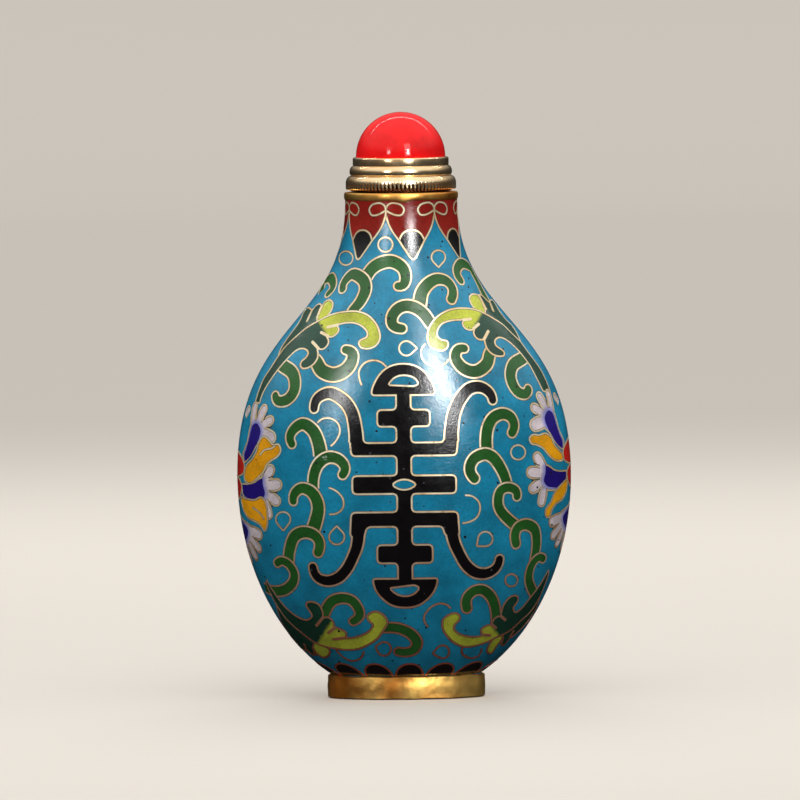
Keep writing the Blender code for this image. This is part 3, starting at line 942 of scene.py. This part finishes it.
def blend_values(painting, spots, triangles, cells):
    """The blend of each corner, as set by the cell that it belongs to."""
    values = np.zeros(len(spots))
    for index in np.unique(cells[cells >= 0]):
        blend = painting.cells[index][2]
        if blend is not None:
            own = np.unique(triangles[cells == index])
            values[own] = blend(spots[own, 0], spots[own, 1])
    return values


def sectioned(name, section, rings):
    """A closed ring: section gives the loop of points (outward, height) at one turn, as an array."""
    loops = [section(2 * math.pi * k / rings) for k in range(rings)]
    size = len(loops[0])
    faces = []
    for k in range(rings):
        here, there = k * size, (k + 1) % rings * size
        for i in range(size):
            j = (i + 1) % size
            faces.append((here + i, there + i, there + j, here + j))
    piece = make_object(name, np.vstack(loops), faces)
    piece.data.set_sharp_from_angle(angle=math.radians(40))
    return piece


# Painting the bottle

face_art = Painting()
paint_face(face_art)
face_art.mirrored(lambda t: math.pi - t)
painting = Painting()
paint_neck(painting)
paint_scallops(painting)
painting.cells.extend(face_art.cells)
paint_flower(painting, 1, 0.0, ORANGE_RIGHT, ())
paint_flower(painting, -1, LEFT_FLOWER_SHIFT, ORANGE_LEFT, ORANGE_LEFT_VEINS)

spots, triangles, cells = planar_map(painting)
colours = np.array(["turquoise"] + [colour for _, colour, _ in painting.cells])[cells + 1]
blends = blend_values(painting, spots, triangles, cells)


# Materials


def node_tree(name):
    material = bpy.data.materials.new(name)
    material.use_nodes = True
    nodes = material.node_tree.nodes
    return material, nodes, material.node_tree.links, nodes["Principled BSDF"]


def noise_of(nodes, links, scale, detail=3.0):
    texture = nodes.new("ShaderNodeTexNoise")
    texture.inputs["Scale"].default_value = scale
    texture.inputs["Detail"].default_value = detail
    links.new(nodes.new("ShaderNodeTexCoord").outputs["Object"], texture.inputs["Vector"])
    return texture.outputs["Fac"]


def ramp_of(nodes, links, source, stops):
    ramp = nodes.new("ShaderNodeValToRGB")
    elements = ramp.color_ramp.elements
    while len(elements) < len(stops):
        elements.new(0.5)
    for element, (place, colour) in zip(elements, stops):
        element.position = place
        element.color = (*colour, 1)
    links.new(source, ramp.inputs["Fac"])
    return ramp.outputs["Color"]


def mixed(nodes, links, amount, first, second, kind="MIX"):
    mix = nodes.new("ShaderNodeMix")
    mix.data_type = "RGBA"
    mix.blend_type = kind
    for socket, value in ((mix.inputs["Factor"], amount), (mix.inputs[6], first), (mix.inputs[7], second)):
        if isinstance(value, bpy.types.NodeSocket):
            links.new(value, socket)
        elif isinstance(value, tuple):
            socket.default_value = (*value, 1)
        else:
            socket.default_value = value
    return mix.outputs[2]


def srgb(red, green, blue):
    """A colour given in 0 to 255, as linear light."""
    return tuple(((c / 255 + 0.055) / 1.055) ** 2.4 if c > 10 else c / 255 / 12.92 for c in (red, green,
                                                                                             blue))


def bump_of(nodes, links, height, strength, distance):
    bump = nodes.new("ShaderNodeBump")
    bump.inputs["Strength"].default_value = strength
    bump.inputs["Distance"].default_value = distance
    links.new(height, bump.inputs["Height"])
    return bump.outputs["Normal"]


# Sizes of the patterns in the finishes, as noise scales in cells a metre, and depths in metres
CLOUD_SCALE = 260.0
SPECK_SCALE = 2600.0
PIT_SCALE = 1100.0
PIT_RARITY = 0.7
WAVE_SCALE = 4200.0
WAVE_DEPTH = 0.00008
GLOSS_SCALE = 700.0
DENT_DEPTH = 0.0003
# Heights in millimetres over which the wire colour turns to painted shade towards the foot
PAINTED_SHADE_LOW = 5.0
PAINTED_SHADE_HIGH = 30.0


def enamel(name, colour, pit_colour=(0.01, 0.01, 0.012), blend_stops=None, grain=0.12, pit_size=0.22,
           roughness=(0.1, 0.2), specular=0.5, pocks=0.3):
    """Fired glass: cloudy colour, a fine speckle, scattered dark pinholes and a slightly wavy polish."""
    material, nodes, links, shader = node_tree(name)
    if blend_stops:
        attribute = nodes.new("ShaderNodeAttribute")
        attribute.attribute_name = "blend"
        body = ramp_of(nodes, links, attribute.outputs["Fac"], blend_stops)
    else:
        body = colour
    clouds = noise_of(nodes, links, CLOUD_SCALE, 4.0)
    cloud = ramp_of(nodes, links, clouds, [(0.3, (0.75,) * 3), (0.7, (1.2,) * 3)])
    specks = noise_of(nodes, links, SPECK_SCALE, 2.0)
    speck = ramp_of(nodes, links, specks, [(0.3, (1 - grain,) * 3), (0.7, (1 + grain,) * 3)])
    body = mixed(nodes, links, 1.0, mixed(nodes, links, 1.0, body, cloud, "MULTIPLY"), speck, "MULTIPLY")
    pits = nodes.new("ShaderNodeTexVoronoi")
    pits.inputs["Scale"].default_value = PIT_SCALE
    pits.inputs["Randomness"].default_value = 1.0
    links.new(nodes.new("ShaderNodeTexCoord").outputs["Object"], pits.inputs["Vector"])
    chosen = nodes.new("ShaderNodeSeparateColor")
    links.new(pits.outputs["Color"], chosen.inputs["Color"])
    size = nodes.new("ShaderNodeMapRange")
    size.inputs["From Min"].default_value = PIT_RARITY
    size.inputs["From Max"].default_value = 1.0
    size.inputs["To Min"].default_value = 0.0
    size.inputs["To Max"].default_value = pit_size
    links.new(chosen.outputs["Red"], size.inputs["Value"])
    inside = nodes.new("ShaderNodeMath")
    inside.operation = "LESS_THAN"
    links.new(pits.outputs["Distance"], inside.inputs[0])
    links.new(size.outputs["Result"], inside.inputs[1])
    links.new(mixed(nodes, links, inside.outputs["Value"], body, pit_colour), shader.inputs["Base Color"])
    wave = noise_of(nodes, links, WAVE_SCALE)
    dented = nodes.new("ShaderNodeMath")
    dented.operation = "SUBTRACT"
    links.new(wave, dented.inputs[0])
    links.new(inside.outputs["Value"], dented.inputs[1])
    links.new(bump_of(nodes, links, dented.outputs["Value"], pocks, WAVE_DEPTH), shader.inputs["Normal"])
    low, high = roughness
    gloss = ramp_of(nodes, links, noise_of(nodes, links, GLOSS_SCALE), [(0.3, (low,) * 3),
                                                                        (0.75, (high,) * 3)])
    links.new(gloss, shader.inputs["Roughness"])
    shader.inputs["Specular IOR Level"].default_value = specular
    return material


def metal(name, colour, worn, roughness, wear_scale, dent, metallic=1.0, foot_shade=None, notch_shade=None):
    """Gilt or brass, with cloudy wear, uneven gloss and small dents. It may darken and redden towards the foot
    as painted shade, or carry painted shade in its notches where the piece's blend says so."""
    material, nodes, links, shader = node_tree(name)
    wear = noise_of(nodes, links, wear_scale, 5.0)
    # Painted shade: darker and redder from the given heights down to the foot
    body = ramp_of(nodes, links, wear, [(0.35, worn), (0.62, colour)])
    if foot_shade:
        place = nodes.new("ShaderNodeSeparateXYZ")
        links.new(nodes.new("ShaderNodeTexCoord").outputs["Object"], place.inputs["Vector"])
        height = nodes.new("ShaderNodeMapRange")
        height.inputs["From Min"].default_value = PAINTED_SHADE_LOW * MM
        height.inputs["From Max"].default_value = PAINTED_SHADE_HIGH * MM
        links.new(place.outputs["Z"], height.inputs["Value"])
        body = mixed(nodes, links, height.outputs["Result"], foot_shade, body)
    # Painted shade in the notches, as strong as the piece's blend says
    if notch_shade:
        groove = nodes.new("ShaderNodeAttribute")
        groove.attribute_name = "blend"
        body = mixed(nodes, links, groove.outputs["Fac"], body, notch_shade)
    links.new(body, shader.inputs["Base Color"])
    shader.inputs["Metallic"].default_value = metallic
    low, high = roughness
    scratches = noise_of(nodes, links, wear_scale * 3)
    gloss = ramp_of(nodes, links, scratches, [(0.3, (low,) * 3), (0.7, (high,) * 3)])
    links.new(gloss, shader.inputs["Roughness"])
    dents = noise_of(nodes, links, wear_scale * 1.7, 4.0)
    links.new(bump_of(nodes, links, dents, dent, DENT_DEPTH), shader.inputs["Normal"])
    return material


TURQUOISE = srgb(28, 146, 186)
WHITE = srgb(236, 222, 228)
LAVENDER = srgb(160, 160, 225)
COBALT = srgb(38, 22, 130)
LEAF_DARK = srgb(26, 72, 54)
LIME = srgb(204, 212, 66)

ENAMELS = {
    "turquoise": enamel("turquoise enamel", TURQUOISE),
    "green": enamel("green enamel", srgb(42, 102, 40)),
    "black": enamel("black enamel", srgb(14, 10, 13), pit_colour=srgb(60, 60, 66)),
    "foot_black": enamel("oxblood enamel", srgb(26, 8, 10)),
    "neck_red": enamel("red enamel", srgb(160, 36, 26)),
    "red": enamel("vermilion enamel", srgb(215, 40, 30)),
    "orange": enamel("orange enamel", srgb(255, 176, 22), pit_colour=srgb(190, 60, 10)),
    "cobalt": enamel("cobalt enamel", COBALT),
    "leaf": enamel("leaf enamel", LIME, blend_stops=[(0.3, LEAF_DARK), (0.75, LIME)]),
    "petal": enamel("petal enamel", WHITE, blend_stops=[(0.1, WHITE), (0.8, LAVENDER)]),
}
# The wires darken and redden towards the foot: painted shade
WIRE_METAL = metal("wire metal", srgb(254, 242, 206), srgb(240, 208, 158), (0.25, 0.42), 300.0, 0.1, 0.4,
                   foot_shade=srgb(186, 92, 64))
# Dark copper brown for the edge round every wire: partly the wire's real edge, partly painted shade along its
# sides
EDGE_AND_SHADE_METAL = metal("edge and shade metal", srgb(74, 40, 26), srgb(44, 24, 18), (0.5, 0.7), 300.0, 0.1, 0.2)
GILT = metal("gilt metal", srgb(255, 206, 112), srgb(220, 132, 46), (0.26, 0.42), 140.0, 0.5, 0.9)
# The brass darkens down in the milled notches: painted shade
BRASS = metal("brass metal", srgb(255, 232, 190), srgb(240, 200, 146), (0.14, 0.26), 200.0, 0.1, 0.95,
              notch_shade=srgb(84, 50, 30))
COPPER = metal("copper metal", srgb(214, 140, 100), srgb(160, 90, 60), (0.3, 0.5), 150.0, 0.3)


# Body pieces

dressed = []
for colour in sorted(set(colours)):
    own = triangles[colours == colour]
    blend = blends if colour in ("leaf", "petal") else None
    # The dark edges round the wires, partly painted shade
    if colour == "seam":
        piece = inlay("wire_edge_and_shade", spots, own, 0.0, INLAY_DEPTH)
        piece.data.materials.append(EDGE_AND_SHADE_METAL)
        dressed.append(piece)
    elif colour == "wire":
        middle = spots[own, 0]
        front_share = np.cos(middle).mean(axis=1) > 0
        for name, half in (("wire_front", own[front_share]), ("wire_back", own[~front_share])):
            piece = inlay(name, spots, half, WIRE_LIFT, INLAY_DEPTH)
            piece.data.materials.append(WIRE_METAL)
            dressed.append(piece)
    else:
        piece = inlay(colour + "_enamel", spots, own, 0.0, INLAY_DEPTH, blend)
        piece.data.materials.append(ENAMELS[colour])
        dressed.append(piece)
for piece in dressed:
    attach(piece, "root")
    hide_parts("body")


# Copper vessel under the enamel, open at the mouth

VESSEL_FLOOR = BODY_BASE_Z + BODY_WALL
VESSEL_SIDES = 96
VESSEL_ROWS = 60
VESSEL_WALL = BODY_WALL - 0.02
VESSEL_TOP = SKIN_HIGH - 0.02
MOUTH_RADIUS = 5.2


def build_vessel():
    outer_z = np.linspace(SKIN_LOW, VESSEL_TOP, VESSEL_ROWS)
    inner_z = np.linspace(VESSEL_TOP, VESSEL_FLOOR, VESSEL_ROWS)
    turns = np.linspace(0, 2 * math.pi, VESSEL_SIDES, endpoint=False)
    rows = [skin_position(turns, np.full(VESSEL_SIDES, z), -COPPER_DEPTH) for z in outer_z]
    for z in inner_z:
        a, b = half_sizes(z) - np.float64(VESSEL_WALL)
        rows.append(np.stack([a * np.sin(turns), -b * np.cos(turns), np.full(VESSEL_SIDES, z)], axis=-1))
    rows.append(np.tile((0.0, 0.0, VESSEL_FLOOR), (1, 1)))
    vertices = np.vstack([np.array([[0.0, 0.0, SKIN_LOW]])] + rows)
    faces = []
    for i in range(VESSEL_SIDES):
        j = (i + 1) % VESSEL_SIDES
        faces.append((0, 1 + j, 1 + i))
        for row in range(len(rows) - 2):
            low, high = 1 + row * VESSEL_SIDES, 1 + (row + 1) * VESSEL_SIDES
            faces.append((low + i, low + j, high + j, high + i))
        last = 1 + (len(rows) - 2) * VESSEL_SIDES
        faces.append((last + i, last + j, len(vertices) - 1))
    piece = make_object("copper_vessel", vertices, faces)
    piece.data.set_sharp_from_angle(angle=math.radians(50))
    return piece


# Rims and stopper

FOOT_EDGE = 0.15
MOUTH_RIM_RADIUS = 7.81
MOUTH_RIM_LOW = BODY_TOP_Z + SEAM_GAP
MOUTH_RIM_TOP = MOUTH_RIM_LOW + 0.9
LIP_LOW = MOUTH_RIM_TOP + SEAM_GAP
LIP_RADIUS = 6.9
MILLED_LOW = LIP_LOW + 0.05
MILLED_HIGH = LIP_LOW + 1.95
MILLED_RADIUS = 7.54
TOOTH_COUNT = 84
TOOTH_HEIGHT = 1.15
TOOTH_DEPTH = 0.55
NOTCH_WIDTH = 0.75
NOTCH_TAPER = 0.7
NOTCH_STEEPNESS = 1.6
NOTCH_FADE = 2.5
# Depth into a notch where the painted shade starts, and how fast it darkens
NOTCH_SHADE_START = 0.3
NOTCH_SHADE_RISE = 1.5
CUP_LIP = 0.26
BEAD_HIGH = MILLED_HIGH + 1.4
BEAD_RADIUS = 7.0
CUP_TOP = BEAD_HIGH + 1.15
CUP_FLOOR = CUP_TOP - 0.9
CUP_BORE = 6.25
CUP_RADIUS = 6.55
CABOCHON_RADIUS = 6.1
CABOCHON_TOP = 80.0
PLUG_RADIUS = 4.9
PLUG_LOW = LIP_LOW - 4.4


def battered(place, scale, amount, seed):
    """A dent at one place: never outwards."""
    return -amount * (0.5 + 0.5 * noise.noise(Vector(place) * scale + Vector((seed, 0, 0))))


def foot_section(turn):
    """Profile of the foot ring at one turn, with its dents and uneven edges."""
    x, y = FOOT_WIDTH / 2 * math.sin(turn), -FOOT_DEPTH / 2 * math.cos(turn)
    out = np.array([math.sin(turn) / FOOT_WIDTH, -math.cos(turn) / FOOT_DEPTH])
    out /= np.linalg.norm(out)
    top = FOOT_HEIGHT + 0.35 * battered((x, y, 9), 0.35, 1.0, 3) + 0.12
    low = -0.4 * battered((x, y, 2), 0.4, 0.35, 7)
    profile = [(-FOOT_WALL, low + FOOT_EDGE), (-FOOT_WALL + FOOT_EDGE, low), (-FOOT_EDGE, low)]
    for k in range(9):
        share = k / 8
        swell = 0.07 - 0.03 * math.cos(share * 2 * math.pi)
        profile.append((swell, low + FOOT_EDGE + share * (top - low - 2 * FOOT_EDGE)))
    profile += [(-0.06 - FOOT_EDGE, top), (-FOOT_WALL + FOOT_EDGE, top), (-FOOT_WALL, top - FOOT_EDGE)]
    points = []
    for offset, z in profile:
        dent = battered((x, y, z), 0.55, 0.09, 0) + battered((x, y, z), 1.6, 0.04, 5)
        reach = offset + (dent if offset > -FOOT_WALL / 2 else 0)
        points.append((x + out[0] * reach, y + out[1] * reach, z))
    return np.array(points)


def mouth_rim_section(turn):
    """Profile of the gilt rim round the mouth, with a slight wobble and one small run of gilt at the front."""
    sway = 0.06 * math.sin(3 * turn + 0.6) + 0.05 * math.sin(5 * turn)
    front = math.remainder(turn - 0.05, 2 * math.pi)
    low = MOUTH_RIM_LOW - 0.12 + 0.5 * sway - 0.28 * math.exp(-((front / 0.11) ** 2))
    top = MOUTH_RIM_TOP
    profile = [(MOUTH_RADIUS, MOUTH_RIM_LOW), (NECK_RADIUS - 0.3, MOUTH_RIM_LOW), (NECK_RADIUS - 0.05, low)]
    middle = (low + top) / 2
    half = (top - low) / 2
    for k in range(11):
        angle = -math.pi / 2 + k * math.pi / 10
        bulge = abs(math.cos(angle)) ** 0.6
        profile.append((NECK_RADIUS - 0.06 + (0.2 + 0.3 * sway) * bulge, middle + half * math.sin(angle)))
    profile.append((MOUTH_RADIUS + 0.12, top))
    profile.append((MOUTH_RADIUS, top - 0.12))
    return np.array([(r * math.sin(turn), -r * math.cos(turn), z) for r, z in profile])


def lathe(name, profile, count, radius_at=None, sharp=40):
    """A turned solid from a profile that runs from the axis at the bottom to the axis at the top."""
    inner = profile[1:-1]
    vertices = [(0, 0, profile[0][1])]
    for radius, z in inner:
        for k in range(count):
            turn = 2 * math.pi * k / count
            r = radius_at(radius, z, turn) if radius_at else radius
            vertices.append((r * math.sin(turn), -r * math.cos(turn), z))
    vertices.append((0, 0, profile[-1][1]))
    last = len(vertices) - 1
    faces = []
    for k in range(count):
        j = (k + 1) % count
        faces.append((0, 1 + j, 1 + k))
        for row in range(len(inner) - 1):
            low, high = 1 + row * count, 1 + (row + 1) * count
            faces.append((low + k, low + j, high + j, high + k))
        faces.append((last - count + k, last - count + j, last))
    piece = make_object(name, vertices, faces)
    piece.data.set_sharp_from_angle(angle=math.radians(sharp))
    return piece


def arc_profile(centre, radius_out, radius_up, start, end, steps):
    """Points of an oval arc in (radius, height), angles in degrees from straight out."""
    angles = np.radians(np.linspace(start, end, steps))
    return [(centre[0] + radius_out * math.cos(a), centre[1] + radius_up * math.sin(a)) for a in angles]


def build_collar():
    milled = [(MILLED_RADIUS - 0.2, MILLED_LOW), (MILLED_RADIUS - 0.06, MILLED_LOW + 0.06)]
    milled += [(MILLED_RADIUS, z) for z in np.linspace(MILLED_LOW + 0.18, MILLED_LOW + 0.8, 9)]
    shoulder = arc_profile((MILLED_RADIUS - 0.72, MILLED_LOW + 0.85), 0.72, MILLED_HIGH - MILLED_LOW - 0.85,
                           6, 84, 12)
    low_bead = arc_profile((BEAD_RADIUS - 0.25, MILLED_HIGH + 0.52), 0.25, 0.5, -80, 0, 7)
    high_bead = arc_profile((BEAD_RADIUS - 0.55, MILLED_HIGH + 0.52), 0.55, BEAD_HIGH - MILLED_HIGH - 0.55,
                            12, 82, 8)
    cup = [(CUP_RADIUS - 0.02, BEAD_HIGH), (CUP_RADIUS, BEAD_HIGH + 0.1), (CUP_RADIUS, CUP_TOP - CUP_LIP)]
    cup += arc_profile((CABOCHON_RADIUS + 0.08, CUP_TOP - CUP_LIP), CUP_RADIUS - CABOCHON_RADIUS - 0.08, 0.24,
                       15, 90, 6)
    inside = [(CABOCHON_RADIUS + 0.02, CUP_TOP - 0.1), (CABOCHON_RADIUS + 0.02, CUP_FLOOR), (0, CUP_FLOOR)]
    plug = [(0, PLUG_LOW), (PLUG_RADIUS - 0.4, PLUG_LOW), (PLUG_RADIUS, PLUG_LOW + 0.4),
            (PLUG_RADIUS, LIP_LOW - 0.15)]
    lip = [(LIP_RADIUS - 0.06, LIP_LOW - 0.15), (LIP_RADIUS, LIP_LOW - 0.08), (LIP_RADIUS - 0.04, MILLED_LOW)]

    def toothed(radius, z, turn):
        if radius < MILLED_RADIUS - 0.3 or not MILLED_LOW <= z <= MILLED_LOW + TOOTH_HEIGHT:
            return radius
        across = abs(math.remainder(turn * TOOTH_COUNT / (2 * math.pi), 1.0)) * 2
        height_share = (z - MILLED_LOW) / TOOTH_HEIGHT
        notch = NOTCH_WIDTH * (1 - height_share) ** NOTCH_TAPER
        cut = max(0.0, 1 - across / max(notch, 0.01))
        return radius - TOOTH_DEPTH * min(1.0, NOTCH_STEEPNESS * cut) * min(1.0,
                                                                            NOTCH_FADE * (1 - height_share))

    profile = plug + lip + milled + shoulder + low_bead + high_bead + cup + inside
    piece = lathe("milled_collar", profile, TOOTH_COUNT * 10, toothed)
    place = np.array([vertex.co for vertex in piece.data.vertices]) / MM
    depth = (MILLED_RADIUS - np.hypot(place[:, 0], place[:, 1])) / TOOTH_DEPTH
    # Painted shade in the notches: darker the deeper a point lies, only within the band of teeth
    shaded_notch = np.clip(NOTCH_SHADE_RISE * (depth - NOTCH_SHADE_START), 0, 1)
    shaded_notch *= place[:, 2] < MILLED_LOW + TOOTH_HEIGHT - 0.1
    layer = piece.data.attributes.new("blend", "FLOAT", "POINT")
    layer.data.foreach_set("value", shaded_notch.astype(np.float32))
    return piece


def build_dome():
    wall = [(0, CUP_FLOOR + 0.02), (CABOCHON_RADIUS - 0.1, CUP_FLOOR + 0.02),
            (CABOCHON_RADIUS, CUP_FLOOR + 0.12)]
    dome = arc_profile((0, CUP_TOP), CABOCHON_RADIUS, CABOCHON_TOP - CUP_TOP, 0, 90, 33)[:-1]
    return lathe("coral_dome", wall + dome + [(0, CABOCHON_TOP)], 96)


BASE_SIDES = 72
BASE_TOP = 3.4
BASE_MIDDLE = 2.75
BASE_PROFILE = ((0.35, 2.72), (0.7, 2.62), (0.9, 2.5), (1.0, 2.4), (1.0, BASE_TOP))


def build_base():
    """The plain enamelled underside, inside the foot ring."""
    turns = np.linspace(0, 2 * math.pi, BASE_SIDES, endpoint=False)
    half_x, half_y = FOOT_WIDTH / 2 - FOOT_WALL / 2, FOOT_DEPTH / 2 - FOOT_WALL / 2
    rows = []
    for share, z in BASE_PROFILE:
        flat = np.full(BASE_SIDES, z)
        rows.append(np.stack([half_x * share * np.sin(turns), -half_y * share * np.cos(turns), flat],
                             axis=-1))
    vertices = np.vstack([[(0, 0, BASE_MIDDLE)]] + rows + [[(0, 0, BASE_TOP)]])
    faces = []
    for i in range(BASE_SIDES):
        j = (i + 1) % BASE_SIDES
        faces.append((0, 1 + j, 1 + i))
        for row in range(len(rows) - 1):
            low, high = 1 + row * BASE_SIDES, 1 + (row + 1) * BASE_SIDES
            faces.append((low + i, low + j, high + j, high + i))
        last = 1 + (len(rows) - 1) * BASE_SIDES
        faces.append((last + i, last + j, len(vertices) - 1))
    return make_object("base_enamel", vertices, faces)


CORAL = enamel("coral", srgb(255, 26, 28), grain=0.03, pit_size=0.0, roughness=(0.03, 0.06), specular=0.25,
               pocks=0.03)
for piece, material, slot, node in (
    (build_vessel(), COPPER, "gilt_copper", "body"),
    (build_base(), ENAMELS["turquoise"], "enamel", "body"),
    (sectioned("gilt_foot", foot_section, 220), GILT, "gilt_copper", "foot_rim"),
    (sectioned("gilt_mouth", mouth_rim_section, 200), GILT, "gilt_copper", "mouth_rim"),
    (build_collar(), BRASS, "polished_brass", "stopper_collar"),
    (build_dome(), CORAL, "coral_red", "stopper_cabochon"),
):
    piece.data.materials.append(material)
    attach(piece, "root")
    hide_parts(node)


# Floor, light and camera

COVE_RADIUS = 2100.0
COVE_BEND = 700.0
COVE_TOP = 4000.0
COVE_SIDES = 64
COVE_MIDDLE = 300.0
COVE_COLOUR = (0.56, 0.52, 0.47, 1)


def build_cove():
    """One pale sheet: a round floor that curves up into a wall all the way round, outside every camera."""
    profile = [(0.0, 0.0), (COVE_MIDDLE, 0.0)]
    profile += arc_profile((COVE_RADIUS, COVE_BEND), COVE_BEND, COVE_BEND, -90, 0, 17)
    profile += [(COVE_RADIUS + COVE_BEND, COVE_TOP), (0.0, COVE_TOP)]
    piece = lathe("cove", profile, COVE_SIDES, sharp=80)
    roof = [face.index for face in piece.data.polygons if face.center.z > (COVE_TOP - 1) * MM]
    mesh = bmesh.new()
    mesh.from_mesh(piece.data)
    mesh.faces.ensure_lookup_table()
    bmesh.ops.delete(mesh, geom=[mesh.faces[index] for index in roof], context="FACES")
    mesh.to_mesh(piece.data)
    mesh.free()
    return piece


cove = build_cove()
cove_material, _, _, cove_shader = node_tree("pale cove")
cove_shader.inputs["Base Color"].default_value = COVE_COLOUR
cove_shader.inputs["Roughness"].default_value = 0.7
cove_shader.inputs["Emission Color"].default_value = COVE_COLOUR
cove_shader.inputs["Emission Strength"].default_value = 0.2
cove.data.materials.append(cove_material)
# The sheet shows in the picture, but lends the bottle no bounced light, reflection or shadow
cove.visible_diffuse = False
cove.visible_glossy = False
cove.visible_shadow = False

TARGET = Vector((0, 0, 42)) * MM


def area_light(name, azimuth, elevation, distance, size, power, lights):
    """A panel aimed at the bottle, placed by its direction: azimuth to the right of the camera. It gives only
    highlights, or only soft light without them."""
    light = bpy.data.lights.new(name, "AREA")
    light.shape = "RECTANGLE"
    light.size, light.size_y = size
    light.energy = power
    lamp = bpy.data.objects.new(name, light)
    turn, rise = math.radians(azimuth), math.radians(elevation)
    reach = Vector((math.sin(turn) * math.cos(rise), -math.cos(turn) * math.cos(rise), math.sin(rise)))
    lamp.location = TARGET + reach * distance
    lamp.rotation_euler = reach.to_track_quat("Z", "Y").to_euler()
    lamp.visible_diffuse = lights != "highlights"
    lamp.visible_glossy = lights != "soft"
    bpy.context.scene.collection.objects.link(lamp)


area_light("key_light", 19, 15, 1.0, (0.11, 0.23), 4.6, "highlights")
area_light("key_halo", 19, 20, 1.0, (0.26, 0.55), 2.2, "highlights")
area_light("left_light", -31, 14, 1.0, (0.1, 0.16), 1.3, "highlights")
area_light("left_halo", -31, 16, 1.0, (0.24, 0.34), 0.5, "highlights")
area_light("front_light", 5, 30, 0.8, (0.3, 0.2), 0.7, "soft")
area_light("high_light", 8, 56, 0.25, (0.3, 0.15), 0.22, "soft")
area_light("rear_light", 180, 40, 0.6, (0.5, 0.25), 1.4, "soft")
area_light("back_strip", 180, 56, 0.8, (1.8, 0.012), 2.0, "highlights")

# Brightness of the room by the sine of the height above the horizon, and the share of it left at the back
SKY_STOPS = [(0.0, (0.04,) * 3), (0.2, (0.16,) * 3), (0.42, (0.95, 0.93, 0.9)), (0.8, (1.2, 1.18, 1.15))]
BACK_STOPS = [(0.1, (1.0,) * 3), (0.6, (0.35,) * 3)]

world = bpy.data.worlds.new("studio")
world.use_nodes = True
sky_nodes, sky_links = world.node_tree.nodes, world.node_tree.links
direction = sky_nodes.new("ShaderNodeSeparateXYZ")
sky_links.new(sky_nodes.new("ShaderNodeTexCoord").outputs["Generated"], direction.inputs["Vector"])
sky = ramp_of(sky_nodes, sky_links, direction.outputs["Z"], SKY_STOPS)
back = ramp_of(sky_nodes, sky_links, direction.outputs["Y"], BACK_STOPS)
sky_links.new(mixed(sky_nodes, sky_links, 1.0, sky, back, "MULTIPLY"),
              sky_nodes["Background"].inputs["Color"])
bpy.context.scene.world = world
bpy.context.scene.view_settings.view_transform = "Standard"

camera_data = bpy.data.cameras.new("camera")
camera = bpy.data.objects.new("camera", camera_data)
bpy.context.scene.collection.objects.link(camera)
camera.location = Vector((0, -CAMERA_DISTANCE, CAMERA_HEIGHT)) * MM
aim = Vector((PICTURE_AIM[0], 0, PICTURE_AIM[1])) * MM
reach = aim - camera.location
camera_data.sensor_width = SENSOR
camera_data.lens = SENSOR * reach.length / (PICTURE_MM * MM)
camera_data.clip_start = 0.05
camera_data.clip_end = 20
facing = reach.to_track_quat("-Z", "Y")
camera.rotation_mode = "QUATERNION"
camera.rotation_quaternion = facing @ Quaternion((0, 0, 1), math.radians(-PICTURE_ROLL))
bpy.context.scene.camera = camera
bpy.context.view_layer.update()
